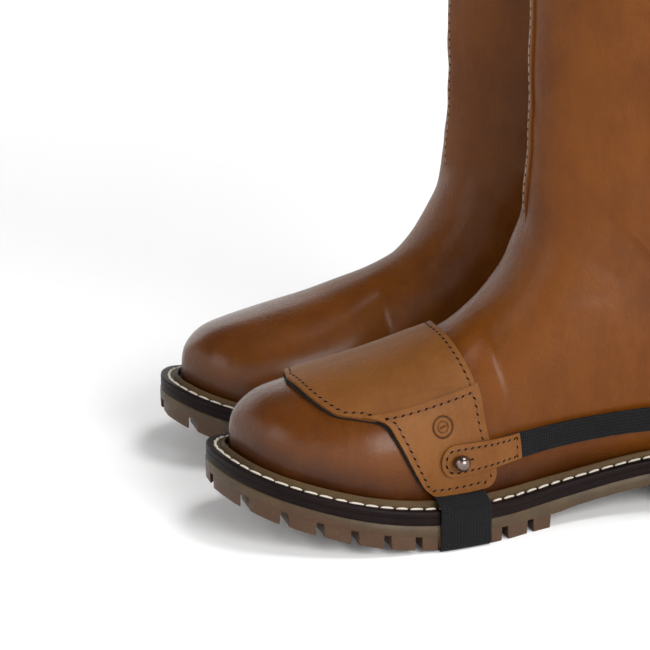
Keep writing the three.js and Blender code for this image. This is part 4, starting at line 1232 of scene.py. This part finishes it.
def stud():
    """Ball stud on a foot disc."""
    s, q = (a[0] for a in locate(*STUD_AT, 1))
    axis, foot = upper_normal(s, q), skin(s, q, 3.6)
    x = unit(np.cross(axis, (0, 0, 1.0)))
    y = np.cross(axis, x)
    profile = [(0, 0), (3.6, 0), (3.9, 0.15), (3.9, 0.55), (3.7, 0.8), (2.2, 0.95), (1.9, 1.25),
               (1.85, 1.9), (1.95, 2.4)]
    profile += [(3.7 * np.cos(v), 5.4 + 3.7 * np.sin(v)) for v in np.linspace(-0.97, np.pi / 2, 26)]
    around = 48
    ang = np.linspace(0, 2 * np.pi, around, endpoint=False)
    rings = [foot + r * (np.cos(ang)[:, None] * x + np.sin(ang)[:, None] * y) + h * axis for r, h in profile]
    make("guard_ball_stud", 1, np.concatenate(rings), grid_faces(len(rings), around, wrap=True), METAL,
         "left_stud", weld=1e-5)


# ---- pieces kept from the CAD model ----------------------------------------------------------------
def finish_cad_nodes():
    looks = {"insole_board": BOARD, "cork_filler": CORK, "shank": STEEL, "toe_puff": STIFF,
             "heel_counter": STIFF}
    for n in NAME.values():
        for node, material in looks.items():
            mesh = frame["nodes"][f"{n}_{node}"].data
            mesh.materials.clear()
            mesh.materials.append(material)


# ---- camera, light and floor -----------------------------------------------------------------------
def studio():
    """Camera at the pictured angle, white bowl floor and three soft lamps."""
    scene = bpy.context.scene
    scene.view_settings.view_transform = "Standard"
    back = Vector((0.9323, -0.2756, 0.2341))
    right = Vector((0.2835, 0.9590, 0.0))
    up = Vector((-0.2245, 0.0664, 0.9722))
    look = (-back - 0.01591 * right - 0.02250 * up).normalized()
    camera = bpy.data.objects.new("camera", bpy.data.cameras.new("camera"))
    camera.data.lens = 125.0
    camera.data.sensor_width = 36
    camera.location = (1.0153, -0.3639, 0.3550)
    camera.rotation_euler = look.to_track_quat("-Z", "Y").to_euler()
    scene.collection.objects.link(camera)
    scene.camera = camera

    # round floor with an upturned rim, far larger than the boots
    rings, around = [(0.0, 0.0), (2.0, 0.0), (4.0, 0.0)], 64
    rings += [(4 + np.sin(a), 1 - np.cos(a)) for a in np.linspace(0, np.pi / 2, 12)[1:]] + [(5, 3.0)]
    verts = [(r * np.cos(a), r * np.sin(a), z) for r, z in rings
             for a in np.linspace(0, 2 * np.pi, around, endpoint=False)]
    mesh = bpy.data.meshes.new("floor")
    mesh.from_pydata(verts, [], grid_faces(len(rings), around, wrap=True).tolist())
    mesh.shade_smooth()
    mesh.materials.append(FLOOR)
    floor = bpy.data.objects.new("floor", mesh)
    scene.collection.objects.link(floor)

    scene.world = bpy.data.worlds.new("studio")
    scene.world.use_nodes = True
    sky = scene.world.node_tree.nodes["Background"].inputs
    sky[0].default_value, sky[1].default_value = (1, 1, 1, 1), 0.14

    def lamp(name, at, target, width, height, power):
        data = bpy.data.lights.new(name, "AREA")
        data.shape = "RECTANGLE"
        data.size, data.size_y, data.energy = width, height, power
        obj = bpy.data.objects.new(name, data)
        obj.location = at
        obj.rotation_euler = (Vector(target) - Vector(at)).to_track_quat("-Z", "Y").to_euler()
        scene.collection.objects.link(obj)
    lamp("key", (1.5, 0.35, 0.8), (0, -0.03, 0.1), 0.9, 0.8, 24)
    lamp("front", (0.5, -1.5, 1.0), (0, -0.05, 0.08), 0.8, 0.8, 4.5)
    lamp("overhead", (0.25, 0.7, 2.0), (0, 0, 0), 0.9, 0.9, 26)


for boot in (1, -1):
    sole(boot)
    upper(boot)
guard()
sole_strap()
heel_strap()
strap_tab()
stud()
finish_cad_nodes()
studio()
